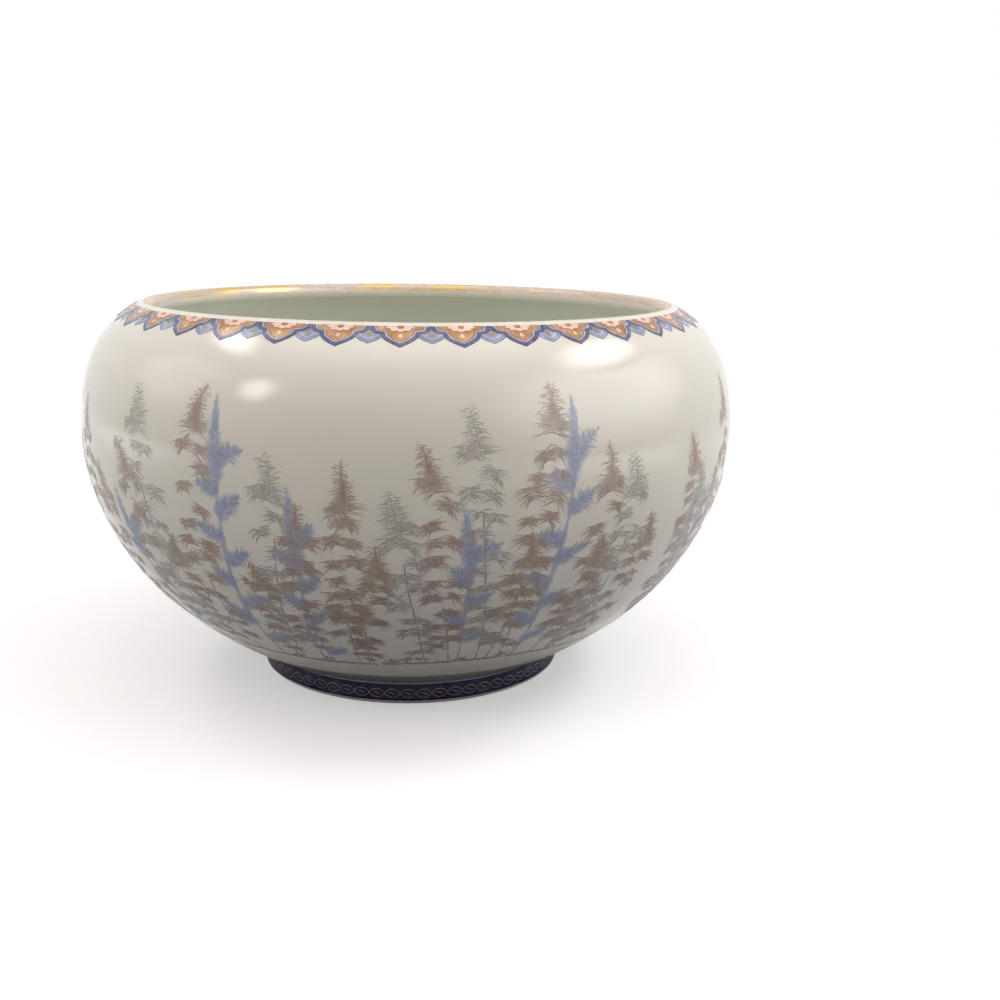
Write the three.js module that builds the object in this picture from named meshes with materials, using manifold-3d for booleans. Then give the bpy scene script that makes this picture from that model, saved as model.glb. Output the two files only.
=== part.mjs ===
// A porcelain fish bowl: a wide round bowl that curves in to a thick rounded lip, on a low foot ring.
// It is potted in three sections luted together with slip: the foot ring, the lower bowl and the shoulder.
// Thin fired layers lie on the glaze: gilding on the lip, and an enamel border of lappets on the shoulder.
// Sizes are in millimetres, +Z is up, and the origin is the middle of the flat foot.
import * as THREE from 'three';
import { mergeVertices } from 'three/addons/utils/BufferGeometryUtils.js';
import Module from 'manifold-3d';

// Outside form of the bowl
const bowlHeight = 142;
const bellyRadius = 123;
const bellyHeight = 96;
const lipRadius = 99;
const footRadius = 58.7;
const footHeight = 8.2;
const footFlare = THREE.MathUtils.degToRad(26);
const lipSlope = THREE.MathUtils.degToRad(28);

// Fullness of the outside curves, as shares of the sizes that they span
const footReachShare = 0.9;
const bellyDropShare = 0.27;
const bellyRiseShare = 0.73;
const lipReachShare = 0.33;

// Walls
const seamThickness = 5.6;
const lipThickness = 6;
const heelThickness = 7;
const floorThickness = 5.6;
const wellStartShare = 0.15;

// Foot ring
const footWidth = 6.6;
const footOuterRound = 1.8;
const footInnerRound = 1.2;
const footBatter = 0.8;

// Fired layers on the glaze
const layerGap = 0.12;
const giltThickness = 0.2;
const enamelThickness = 0.4;

// Border of large bracket-shaped lappets with a small leaf in each gap, outside a line of bare white glaze.
// Its lengths are level distances, as seen from above.
const lappetCount = 35;
const borderTurn = THREE.MathUtils.degToRad(3);
const glazeLine = 1.2;
const lappetLength = 8;
const leafLength = 6.9;
const cutOverrun = 5;

// Half outlines: across as a share of half a pitch from the middle, out as a share of the whole length
const lappetShares = {
  top: [1, 0.05],
  bulge: [0.9, 0.36],
  notch: [0.62, 0.42],
  lobe: [0.56, 0.72],
  flank: [0.26, 0.84],
};
const leafShares = {
  top: [0.62, 0.1],
  lobe: [0.56, 0.72],
  flank: [0.2, 0.88],
};
const tipShares = [0, 1];

// How finely the round forms are faceted
const facetsPerLappet = 2;
const roundSegments = facetsPerLappet * lappetCount;
const lowerWallSteps = 11;
const shoulderSteps = 12;
const wellSteps = 3;
const lipSteps = 8;
const giltFirstStep = 1;
const giltLastStep = 5;
const edgeSteps = 2;
const outlineSteps = 3;

// Finishes
const glaze = { color: 0xdedbd2, roughness: 0.12, metalness: 0 };
const cobaltFoot = { color: 0x2b2d4a, roughness: 0.15, metalness: 0 };
const wornGilt = { color: 0xc79c62, roughness: 0.35, metalness: 0.7 };
const lappetEnamel = { color: 0xc8924f, roughness: 0.3, metalness: 0.2 };

const manifold = await Module();
manifold.setup();

// Outside of the lower wall, from the heel above the foot up to the widest girth
function lowerCurve() {
  const reach = (bellyRadius - footRadius) * footReachShare;
  const drop = (bellyHeight - footHeight) * bellyDropShare;
  return new THREE.CubicBezierCurve(
    new THREE.Vector2(footRadius, footHeight),
    new THREE.Vector2(footRadius + reach * Math.cos(footFlare), footHeight + reach * Math.sin(footFlare)),
    new THREE.Vector2(bellyRadius, bellyHeight - drop),
    new THREE.Vector2(bellyRadius, bellyHeight),
  );
}

// A point round the lip, at an angle from straight up that is positive outwards, and a distance off its glaze
function lipPoint(angle, distance) {
  const halfThickness = lipThickness / 2;
  const reach = halfThickness + distance;
  const middleHeight = bowlHeight - halfThickness;
  return new THREE.Vector2(lipRadius + reach * Math.sin(angle), middleHeight + reach * Math.cos(angle));
}

// Outside of the shoulder, from the widest girth in to the start of the rounded lip
function shoulderCurve() {
  const rise = (bowlHeight - bellyHeight) * bellyRiseShare;
  const reach = (bellyRadius - lipRadius) * lipReachShare;
  const lipStart = lipPoint(lipSlope, 0);
  return new THREE.CubicBezierCurve(
    new THREE.Vector2(bellyRadius, bellyHeight),
    new THREE.Vector2(bellyRadius, bellyHeight + rise),
    new THREE.Vector2(lipStart.x + reach * Math.cos(lipSlope), lipStart.y - reach * Math.sin(lipSlope)),
    lipStart,
  );
}

// Exact direction of a cubic curve at share t, so that the seam where the wall stands upright is truly level
function directionAlong(curve, t) {
  const rest = 1 - t;
  const leaving = curve.v1.clone().sub(curve.v0).multiplyScalar(rest * rest);
  const crossing = curve.v2.clone().sub(curve.v1).multiplyScalar(2 * rest * t);
  const arriving = curve.v3.clone().sub(curve.v2).multiplyScalar(t * t);
  return leaving.add(crossing).add(arriving).normalize();
}

// A point at share t of a curve that rises up the outside, moved straight out of the wall by a distance
function pointOffWall(curve, t, distance) {
  const point = curve.getPoint(t);
  const along = directionAlong(curve, t);
  return new THREE.Vector2(point.x + along.y * distance, point.y - along.x * distance);
}

// The inside of a wall whose thickness changes evenly from one end of its outside curve to the other
function insideOfWall(curve, steps, firstShare, firstThickness, lastThickness) {
  const points = [];
  for (let i = 0; i <= steps; i += 1) {
    const t = THREE.MathUtils.lerp(firstShare, 1, i / steps);
    const thickness = THREE.MathUtils.lerp(firstThickness, lastThickness, t);
    points.push(pointOffWall(curve, t, -thickness));
  }
  return points;
}

// The dished well, from the inside of the wall down to the level floor: the two tangents are equally long
function wellCurve(wallPoint, wallDirection) {
  const floorLevel = footHeight + floorThickness;
  const reach = (wallPoint.y - floorLevel) / wallDirection.y;
  const corner = new THREE.Vector2(wallPoint.x - wallDirection.x * reach, floorLevel);
  const floorEdge = new THREE.Vector2(corner.x - reach, floorLevel);
  return new THREE.QuadraticBezierCurve(wallPoint, corner, floorEdge);
}

function lowerBowlProfile() {
  const curve = lowerCurve();
  const steps = lowerWallSteps - 1;
  const outside = curve.getPoints(lowerWallSteps);
  const inside = insideOfWall(curve, steps, wellStartShare, heelThickness, seamThickness).reverse();
  const well = wellCurve(inside.pop(), directionAlong(curve, wellStartShare)).getPoints(wellSteps);
  const underside = new THREE.Vector2(0, footHeight);
  const floorMiddle = new THREE.Vector2(0, footHeight + floorThickness);
  return [underside, ...outside, ...inside, ...well, floorMiddle];
}

// Points round the lip from its outer start over the crest to the inside, at a distance off the glaze
function lipArc(distance) {
  const points = [];
  for (let i = 0; i <= lipSteps; i += 1) {
    points.push(lipPoint(lipSlope - (Math.PI * i) / lipSteps, distance));
  }
  return points;
}

function shoulderProfile() {
  const outside = shoulderCurve();
  const inside = insideOfWall(outside, shoulderSteps, 0, seamThickness, lipThickness).reverse();
  const profile = [...outside.getPoints(shoulderSteps), ...lipArc(0).slice(1, -1), ...inside];
  return [...profile, profile[0].clone()];
}

// A rounded edge in a quarter circle, from one angle to another about its own middle
function roundedEdge(middle, radius, fromAngle, toAngle) {
  const points = [];
  for (let i = 0; i <= edgeSteps; i += 1) {
    const angle = THREE.MathUtils.lerp(fromAngle, toAngle, i / edgeSteps);
    points.push(new THREE.Vector2(middle.x + radius * Math.cos(angle), middle.y + radius * Math.sin(angle)));
  }
  return points;
}

function footRingProfile() {
  const quarterTurn = Math.PI / 2;
  const innerRadius = footRadius - footWidth;
  const outerMiddle = new THREE.Vector2(footRadius - footOuterRound, footOuterRound);
  const innerMiddle = new THREE.Vector2(innerRadius + footInnerRound, footInnerRound);
  const profile = [
    ...roundedEdge(outerMiddle, footOuterRound, -quarterTurn, 0),
    new THREE.Vector2(footRadius, footHeight),
    new THREE.Vector2(innerRadius - footBatter, footHeight),
    ...roundedEdge(innerMiddle, footInnerRound, 2 * quarterTurn, 3 * quarterTurn),
  ];
  return [...profile, profile[0].clone()];
}

// The gilt band wraps the crest and the inner side of the lip, and leaves a line of white glaze outside it
function lipGildingProfile() {
  const under = lipArc(layerGap).slice(giltFirstStep, giltLastStep + 1);
  const over = lipArc(layerGap + giltThickness).slice(giltFirstStep, giltLastStep + 1);
  const profile = [...over, ...under.reverse()];
  return [...profile, profile[0].clone()];
}

// The border hangs from a circle that lies outside the lip by the width of the bare line
function borderRadius() {
  return lipPoint(lipSlope, 0).x + glazeLine;
}

// A thin skin that follows the upper shoulder, wide enough to hold the border
function borderSkinProfile() {
  const outside = shoulderCurve();
  const tipRadius = borderRadius() + lappetLength;
  const firstStep = outside.getPoints(shoulderSteps).findLastIndex((point) => point.x > tipRadius);
  const under = [];
  const over = [];
  for (let i = firstStep; i <= shoulderSteps; i += 1) {
    under.unshift(pointOffWall(outside, i / shoulderSteps, layerGap));
    over.push(pointOffWall(outside, i / shoulderSteps, layerGap + enamelThickness));
  }
  const profile = [...over, ...under];
  return [...profile, profile[0].clone()];
}

// Turns a profile about the upright axis
function turned(profile) {
  const geometry = new THREE.LatheGeometry(profile, roundSegments);
  geometry.rotateX(Math.PI / 2);
  return geometry;
}

// A large lappet's half outline runs down a convex shoulder to a notch, then round a lobe to the tip
function lappetHalf() {
  const path = new THREE.Path();
  path.moveTo(...lappetShares.top);
  path.quadraticCurveTo(...lappetShares.bulge, ...lappetShares.notch);
  path.bezierCurveTo(...lappetShares.lobe, ...lappetShares.flank, ...tipShares);
  return path.getPoints(outlineSteps);
}

// A leaf's half outline is one full curve to the tip
function leafHalf() {
  const path = new THREE.Path();
  path.moveTo(...leafShares.top);
  path.bezierCurveTo(...leafShares.lobe, ...leafShares.flank, ...tipShares);
  return path.getPoints(outlineSteps);
}

// Direction in plan of a lappet's middle, counted round from the front of the bowl; the halves are the gaps
function lappetTurn(place) {
  const front = -Math.PI / 2;
  return front + borderTurn + (place * 2 * Math.PI) / lappetCount;
}

// One whole lappet or leaf seen from above: the half outline on both sides of its middle
function outlineFromAbove(half, middleTurn, length) {
  const halfPitch = Math.PI / lappetCount;
  const place = (share, side) => {
    const radius = borderRadius() + share.y * length;
    const turn = middleTurn + side * share.x * halfPitch;
    return new THREE.Vector2(radius * Math.cos(turn), radius * Math.sin(turn));
  };
  const firstSide = half.map((share) => place(share, -1));
  const secondSide = half.slice(0, -1).reverse().map((share) => place(share, 1));
  return [...firstSide, ...secondSide];
}

// Upright prism of a plan shape, tall enough to cut through the whole shoulder
function uprightPrism(shapes) {
  const depth = bowlHeight - bellyHeight + cutOverrun;
  const settings = { depth, curveSegments: roundSegments, bevelEnabled: false };
  const geometry = new THREE.ExtrudeGeometry(shapes, settings);
  geometry.translate(0, 0, bellyHeight);
  return solidFrom(geometry);
}

// The large lappets meet at their tops, so their outlines make one scalloped ring round the bare line
function lappetPrism() {
  const points = [];
  for (let i = 0; i < lappetCount; i += 1) {
    points.push(...outlineFromAbove(lappetHalf(), lappetTurn(i), lappetLength).slice(1));
  }
  const ring = new THREE.Shape(points);
  ring.holes.push(new THREE.Path().absarc(0, 0, borderRadius(), 0, 2 * Math.PI));
  return uprightPrism(ring);
}

// A leaf stands in the middle of each gap
function leafPrism() {
  const shapes = [];
  for (let i = 0; i < lappetCount; i += 1) {
    shapes.push(new THREE.Shape(outlineFromAbove(leafHalf(), lappetTurn(i + 1 / 2), leafLength)));
  }
  return uprightPrism(shapes);
}

function solidFrom(geometry) {
  geometry.deleteAttribute('normal');
  geometry.deleteAttribute('uv');
  const merged = mergeVertices(geometry);
  const vertProperties = Float32Array.from(merged.attributes.position.array);
  const triVerts = Uint32Array.from(merged.index.array);
  return new manifold.Manifold(new manifold.Mesh({ numProp: 3, vertProperties, triVerts }));
}

function geometryFrom(solid) {
  const { vertProperties, triVerts } = solid.getMesh();
  const geometry = new THREE.BufferGeometry();
  geometry.setAttribute('position', new THREE.BufferAttribute(vertProperties, 3));
  geometry.setIndex(new THREE.BufferAttribute(triVerts, 1));
  geometry.computeVertexNormals();
  return geometry;
}

function lappetBorder() {
  const skin = solidFrom(turned(borderSkinProfile()));
  const outline = lappetPrism().add(leafPrism());
  return geometryFrom(skin.intersect(outline));
}

function piece(name, geometry, finish) {
  const mesh = new THREE.Mesh(geometry, new THREE.MeshStandardMaterial(finish));
  mesh.name = name;
  return mesh;
}

const fishBowl = new THREE.Group();
fishBowl.add(
  piece('foot_ring', turned(footRingProfile()), cobaltFoot),
  piece('lower_bowl', turned(lowerBowlProfile()), glaze),
  piece('shoulder', turned(shoulderProfile()), glaze),
  piece('lip_gilding', turned(lipGildingProfile()), wornGilt),
  piece('lappet_border', lappetBorder(), lappetEnamel),
);

export default fishBowl;
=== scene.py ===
"""Models a glazed and painted porcelain fish bowl round its measured frame."""

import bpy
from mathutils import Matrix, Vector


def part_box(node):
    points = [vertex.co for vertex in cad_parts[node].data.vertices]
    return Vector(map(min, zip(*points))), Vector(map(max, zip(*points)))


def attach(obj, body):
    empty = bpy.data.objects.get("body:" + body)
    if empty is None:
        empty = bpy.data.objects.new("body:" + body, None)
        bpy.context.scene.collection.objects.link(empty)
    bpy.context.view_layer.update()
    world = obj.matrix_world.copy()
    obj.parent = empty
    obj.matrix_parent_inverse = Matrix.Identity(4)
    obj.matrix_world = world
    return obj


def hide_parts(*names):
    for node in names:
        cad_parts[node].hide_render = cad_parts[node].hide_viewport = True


bl_info = {
    "name": "Porcelain Fish Bowl",
    "version": (1, 0, 0),
    "blender": (4, 5, 0),
    "location": "View3D > Sidebar > Fish Bowl",
    "description": "Turns, glazes, gilds and paints a porcelain fish bowl",
    "category": "Add Mesh",
}

import itertools
import math
import random

import bmesh
import bpy
import numpy as np
from bpy.props import FloatProperty, FloatVectorProperty, IntProperty, PointerProperty
from mathutils import Matrix, Vector, noise

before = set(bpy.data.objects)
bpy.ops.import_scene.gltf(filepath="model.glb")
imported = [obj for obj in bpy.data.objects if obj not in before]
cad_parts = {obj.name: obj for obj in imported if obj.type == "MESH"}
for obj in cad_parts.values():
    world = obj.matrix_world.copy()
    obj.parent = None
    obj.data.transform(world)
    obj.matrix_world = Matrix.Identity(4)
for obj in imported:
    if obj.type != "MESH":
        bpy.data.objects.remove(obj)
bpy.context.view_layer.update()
FOOT_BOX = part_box("foot_ring")
LOWER_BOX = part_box("lower_bowl")
SHOULDER_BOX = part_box("shoulder")

# Bamboo on the front: turn of the tip in degrees, its height, turn of the root in degrees, and the ink
FRONT_PLUMES = (
    (-69, 0.098, -66, "ink"),
    (-62, 0.112, -60, "red"),
    (-55, 0.092, -53, "gold"),
    (-49.5, 0.085, -44, "blue"),
    (-46, 0.104, -42, "gold"),
    (-42.5, 0.1205, -37, "ink"),
    (-37, 0.073, -35, "gold"),
    (-29, 0.123, -31, "red"),
    (-25.3, 0.1195, -25, "blue"),
    (-20, 0.068, -21, "gold"),
    (-15.5, 0.104, -20, "ink"),
    (-13.5, 0.094, -13, "blue"),
    (-12.5, 0.088, -15, "red"),
    (-5.4, 0.1015, -7, "red"),
    (-0.5, 0.0765, -5, "gold"),
    (0.5, 0.094, 7, "ink"),
    (5.6, 0.1085, 12, "red"),
    (11.9, 0.0886, 14, "blue"),
    (12.3, 0.119, 18, "ink"),
    (25.5, 0.1244, 20, "red"),
    (22, 0.079, 23, "gold"),
    (28.3, 0.1207, 26, "blue"),
    (35.2, 0.105, 31, "red"),
    (34, 0.0755, 35, "gold"),
    (40.5, 0.1016, 36, "ink"),
    (45.5, 0.080, 41, "red"),
    (54, 0.1046, 59, "red"),
    (58, 0.094, 60, "ink"),
    (62.5, 0.0836, 61, "blue"),
    (65, 0.090, 66, "gold"),
    (69.5, 0.120, 68, "red"),
)

# Inks of the bamboo round the back, in turn
BACK_INKS = ("red", "gold", "ink", "blue", "gold", "red", "ink")

# How strongly the wash behind each kind of tuft covers the glaze, in the order in which they are laid
WASH_SHARES = {"ink": 0.35, "gold": 0.85, "red": 0.95, "blue": 0.8}

# Least and most share of its drawn size that chance gives to each thing
LOOSE_SHARES = {
    "tint": (0.8, 1.2),
    "thinner": (0, 0.1),
    "wash": (0.8, 1.1),
    "fan root": (-2, 3),
    "fan droop": (0.35, 0.75),
    "fan length": (0.5, 1.1),
    "fan width": (0.7, 1.15),
    "twig": (0.7, 1.2),
    "spear": (0.8, 1.2),
    "blade": (0.8, 1.15),
    "blade stroke": (0.45, 0.85),
    "blade stroke width": (0.7, 1.2),
    "tuft": (0.8, 1.25),
    "tuft spacing": (0.8, 1.2),
    "loose tuft": (0.55, 0.8),
    "fin": (0.6, 0.95),
    "fin width": (0.8, 1.1),
    "fin spacing": (0.5, 0.75),
    "dash": (0.5, 1.3),
    "dash width": (0.7, 1.2),
    "dash step": (0.55, 1.1),
    "plant": (0.3, 0.9),
    "plant leaf": (0.3, 0.7),
    "plant leaf root": (-0.3, 0.3),
}

# Least and most degrees that chance gives to each direction
LOOSE_DEGREES = {
    "twig": (50, 85),
    "tuft": (0, 28),
    "hook": (-45, 45),
    "blade stroke": (12, 60),
    "joint": (-2, 2),
    "fin": (32, 62),
    "back root": (-3, 5),
    "back spacing": (3.2, 6.2),
    "plant leaf": (-130, 130),
}

# How likely it is that one ink strays among another, and that a tuft has a second one opposite
CHANCES = {"gold among red": 0.5, "red among gold": 0.2, "gold behind red": 0.5, "second tuft": 0.55}

# Least and most bend of a blue fin in radians, and the spread in degrees of the strokes of a fan
FIN_BENDS = (0.1, 0.6)
FAN_SPREAD = 45

# Corners of the outlines: shares of half a pitch across, and of the length down
LAPPET_SHARES = {
    "top": (1, 0.05),
    "bulge": (0.9, 0.36),
    "notch": (0.62, 0.42),
    "lobe": (0.56, 0.72),
    "flank": (0.26, 0.84),
    "tip": (0, 1),
}
LEAF_SHARES = {"top": (0.62, 0.1), "lobe": (0.56, 0.72), "flank": (0.2, 0.88), "tip": (0, 1)}

# Widths of the bands from the edge inwards, as shares of the length of a lappet and of a leaf
LAPPET_BAND_SHARES = (0.026, 0.075, 0.028, 0.05, 0.028)
LEAF_BAND_SHARES = (0.025, 0.11, 0.02, 0.08)

# Soft windows that the glaze mirrors: turn from the front and rise in degrees, width and height
WINDOWS = {
    "left_window": (-51, 30, 0.38, 0.5),
    "high_left_window": (-104, 53, 1.0, 0.32),
    "right_window": (97, 47, 1.15, 0.6),
}

# Pale sides of the room in the glaze: turn and rise in degrees, width, height, and share of the brightness
ROOM_SIDES = {
    "right_room": (74, 24, 2.8, 1.7, 0.8),
    "left_room": (-84, 26, 1.5, 1.3, 0.5),
}

# Pale patches of the room's floor in the glaze: right, back, width, depth, and share of the brightness
ROOM_FLOORS = {
    "right_floor": (0.8, -0.35, 1.2, 1.6, 0.5),
    "left_floor": (-0.9, 0, 1.2, 1.4, 0.45),
}

# Soft boxes: turn and rise in degrees, width and height
SOFT_BOXES = {
    "right_middle": (75, 30, 0.9, 0.9),
    "left_middle": (-80, 30, 0.9, 0.9),
    "left_low": (-60, 8, 1.0, 0.9),
    "right_low": (60, 8, 1.0, 0.9),
}

WELD = 1e-7
SHARP = math.radians(50)
FINE = np.linspace(0, 1, 401)


def length(name, description, default):
    """A size in metres."""
    return FloatProperty(name=name, description=description, default=default, unit="LENGTH", precision=5)


def angle(name, description, degrees):
    """An angle, given in degrees and kept in radians."""
    default = math.radians(degrees)
    return FloatProperty(name=name, description=description, default=default, unit="ROTATION")


def share(name, description, default):
    """A share of something else."""
    return FloatProperty(
        name=name, description=description, default=default, min=0, max=1, subtype="FACTOR"
    )


def count(name, description, default):
    """How many of something."""
    return IntProperty(name=name, description=description, default=default, min=1)


def level(name, description, default):
    """A plain number without a unit, such as a brightness."""
    return FloatProperty(name=name, description=description, default=default)


def colour(name, description, default):
    """A linear colour."""
    return FloatVectorProperty(
        name=name, description=description, default=default, size=3, min=0, max=1, subtype="COLOR"
    )


class FormSettings(bpy.types.PropertyGroup):
    """Outside form and walls of the bowl."""

    height: length("Height", "From the flat foot to the crest of the lip", SHOULDER_BOX[1].z)
    belly_radius: length("Belly radius", "Widest outside radius", LOWER_BOX[1].y)
    belly_height: length("Belly height", "Height of the widest girth", LOWER_BOX[1].z)
    foot_radius: length("Foot radius", "Outside radius of the foot ring", FOOT_BOX[1].y)
    foot_height: length("Foot height", "Height of the foot ring", FOOT_BOX[1].z)
    lip_radius: length("Lip radius", "Radius of the crest of the lip", 0.099)
    lip_thickness: length("Lip thickness", "Thickness of the rounded lip", 0.006)
    lip_slope: angle("Lip slope", "Slope at which the shoulder meets the lip", 28)
    foot_flare: angle("Foot flare", "Rise of the wall where it leaves the foot", 26)
    foot_reach_share: share("Foot reach", "Fullness of the wall above the foot", 0.9)
    belly_drop_share: share("Belly drop", "Fullness of the wall under the girth", 0.27)
    belly_rise_share: share("Belly rise", "Fullness of the wall above the girth", 0.73)
    lip_reach_share: share("Lip reach", "Fullness of the shoulder outside the lip", 0.33)
    seam_thickness: length("Wall at the girth", "Wall thickness at the widest girth", 0.0056)
    heel_thickness: length("Wall at the heel", "Wall thickness above the foot", 0.007)
    floor_thickness: length("Floor", "Thickness of the floor", 0.0056)
    well_start_share: share("Well", "Where on the lower wall the dished well starts", 0.15)
    inner_glaze_drop: length("Inner glaze drop", "How far below the crest the inner glaze starts", 0.0056)
    foot_width: length("Foot width", "Width of the foot ring", 0.0066)
    foot_outer_round: length("Foot outer edge", "Rounding of the foot's outer edge", 0.0018)
    foot_inner_round: length("Foot inner edge", "Rounding of the foot's inner edge", 0.0012)
    foot_batter: length("Foot batter", "How far the foot's inner side leans in", 0.0008)
    segments: count("Segments", "Facets round the wall", 640)
    rows: count("Rows", "Rows of facets up the outside of each half of the wall", 112)
    shoulder_rows: count("Shoulder rows", "Rows of facets up the outside of the shoulder", 60)
    inner_rows: count("Inner rows", "Rows of facets down the inside of each half of the wall", 22)
    edge_rows: count("Edge rows", "Rows of facets round the lip and round each foot edge", 12)


class GlazeSettings(bpy.types.PropertyGroup):
    """Colours of the body glaze."""

    body: colour("Body", "Ivory glaze outside", (0.80, 0.765, 0.67))
    shade: colour("Shade", "Where the glaze lies thicker", (0.76, 0.735, 0.64))
    # Inside glaze: greenish, and darker than the outside glaze as painted shade of the bowl's inside; the
    # second colour is where the glaze lies thicker.
    inside: colour("Inside", "Greenish glaze inside", (0.725, 0.74, 0.66))
    inside_thick_and_shaded: colour("Inside shade", "Where the glaze inside lies thicker", (0.685, 0.695, 0.615))
    speck: colour("Speck", "Pinholes fired dark", (0.20, 0.16, 0.12))
    cobalt: colour("Cobalt", "Cobalt of the foot band", (0.010, 0.012, 0.050))
    foot_edge: colour("Foot edge", "Pale rim below the foot band", (0.42, 0.41, 0.40))
    band_foot: length("Band foot", "Lowest height of the cobalt band", 0.0015)
    band_top: length("Band top", "Highest height of the cobalt band", 0.008)
    # Worn gilding together with painted shade: the outside wall is painted darker towards the foot, from
    # the foot up to the given height.
    foot_wear_and_shade_top: length("Foot line", "Height up to which worn gilding dulls the wall above the foot", 0.024)
    foot_wear_and_shade: colour("Worn foot line", "Worn gilding on the wall above the foot", (0.50, 0.41, 0.40))
    foot_wear_and_shade_share: share("Worn share", "How strongly the worn gilding covers the glaze", 0.28)
    wave: length("Wave", "Depth of the slow waves of the glaze", 0.0006)
    pooling: length("Pooling", "Depth to which enamel pools", 0.00005)


class GiltSettings(bpy.types.PropertyGroup):
    """Gilding of the lip and of the foot's scroll."""

    gold: colour("Gold", "Bright rubbed gold", (0.64, 0.45, 0.19))
    worn: colour("Worn gold", "Rosy ground that shows where the gold is thin", (0.62, 0.50, 0.41))
    dull: colour("Dull gold", "Gold of the scroll on the foot", (0.24, 0.16, 0.09))
    film: length("Film", "Thickness of the fired gold", 0.00003)
    lip_outer: angle("Outer edge", "Where the lip gilding starts, out from the crest", 6)
    lip_inner: angle("Inner edge", "Where the lip gilding ends, in from the crest", 84)
    scroll_units: count("Scroll units", "Links of the scroll round the foot", 64)
    scroll_height: length("Scroll height", "Height of the middle of the scroll", 0.0044)
    scroll_rise: length("Scroll rise", "Half height of one link", 0.0016)
    scroll_line: length("Scroll line", "Width of the scroll's line", 0.00034)
    curl_share: share("Curl", "Length of a curl against its link", 0.42)
    curl_line_share: share("Curl line", "Width of a curl's line against the scroll's", 0.8)
    curl_offset_share: share("Curl offset", "How far a curl stands from its link's middle", 0.25)
    curl_heading: angle("Curl heading", "Direction in which a curl starts", 45)
    curl_bend: angle("Curl bend", "How far a curl turns", 110)
    scratch: length("Scratch", "Depth of the scratches in the gilding", 0.00003)


class BorderSettings(bpy.types.PropertyGroup):
    """Border of lappets and leaves below the lip."""

    seed: count("Seed", "Which way the brush strays from the drawn line", 7)
    lappets: count("Lappets", "Lappets round the shoulder", 35)
    turn: angle("Turn", "Where the first lappet hangs, from the front", 2.35)
    glaze_line: length("Glaze line", "Bare glaze between lip and border, level", 0.0012)
    lappet_length: length("Lappet length", "From border line to tip, level", 0.008)
    leaf_length: length("Leaf length", "From border line to the leaf's tip, level", 0.0069)
    film: length("Film", "Thickness of the enamel", 0.00006)
    grid: length("Grid", "Largest facet of the enamel", 0.0022)
    wobble: length("Wobble", "How far the brush strays from the drawn line", 0.00022)
    wobble_length: length("Wobble length", "Length of line over which the brush strays", 0.00625)
    line: colour("Line", "Dark cobalt outline", (0.035, 0.038, 0.10))
    cobalt: colour("Cobalt band", "Blue band of the lappets", (0.085, 0.095, 0.22))
    lilac: colour("Lilac band", "Pale band inside the blue", (0.50, 0.45, 0.52))
    brown: colour("Brown line", "Fine line round the gold", (0.14, 0.06, 0.045))
    gold: colour("Gold", "Gold-orange fill", (0.43, 0.225, 0.085))
    rose: colour("Rose", "Pale rose of the cloud and the drop", (0.86, 0.58, 0.46))
    iron: colour("Iron red", "Outline of the cloud", (0.36, 0.12, 0.075))
    dots: colour("Dots", "Dull gold of the small flowers on the leaves", (0.36, 0.27, 0.12))
    leaf: colour("Leaf", "Pale blue of the leaves", (0.28, 0.32, 0.45))
    leaf_pale: colour("Leaf middle", "Paler middle of the leaves", (0.41, 0.44, 0.53))


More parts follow.
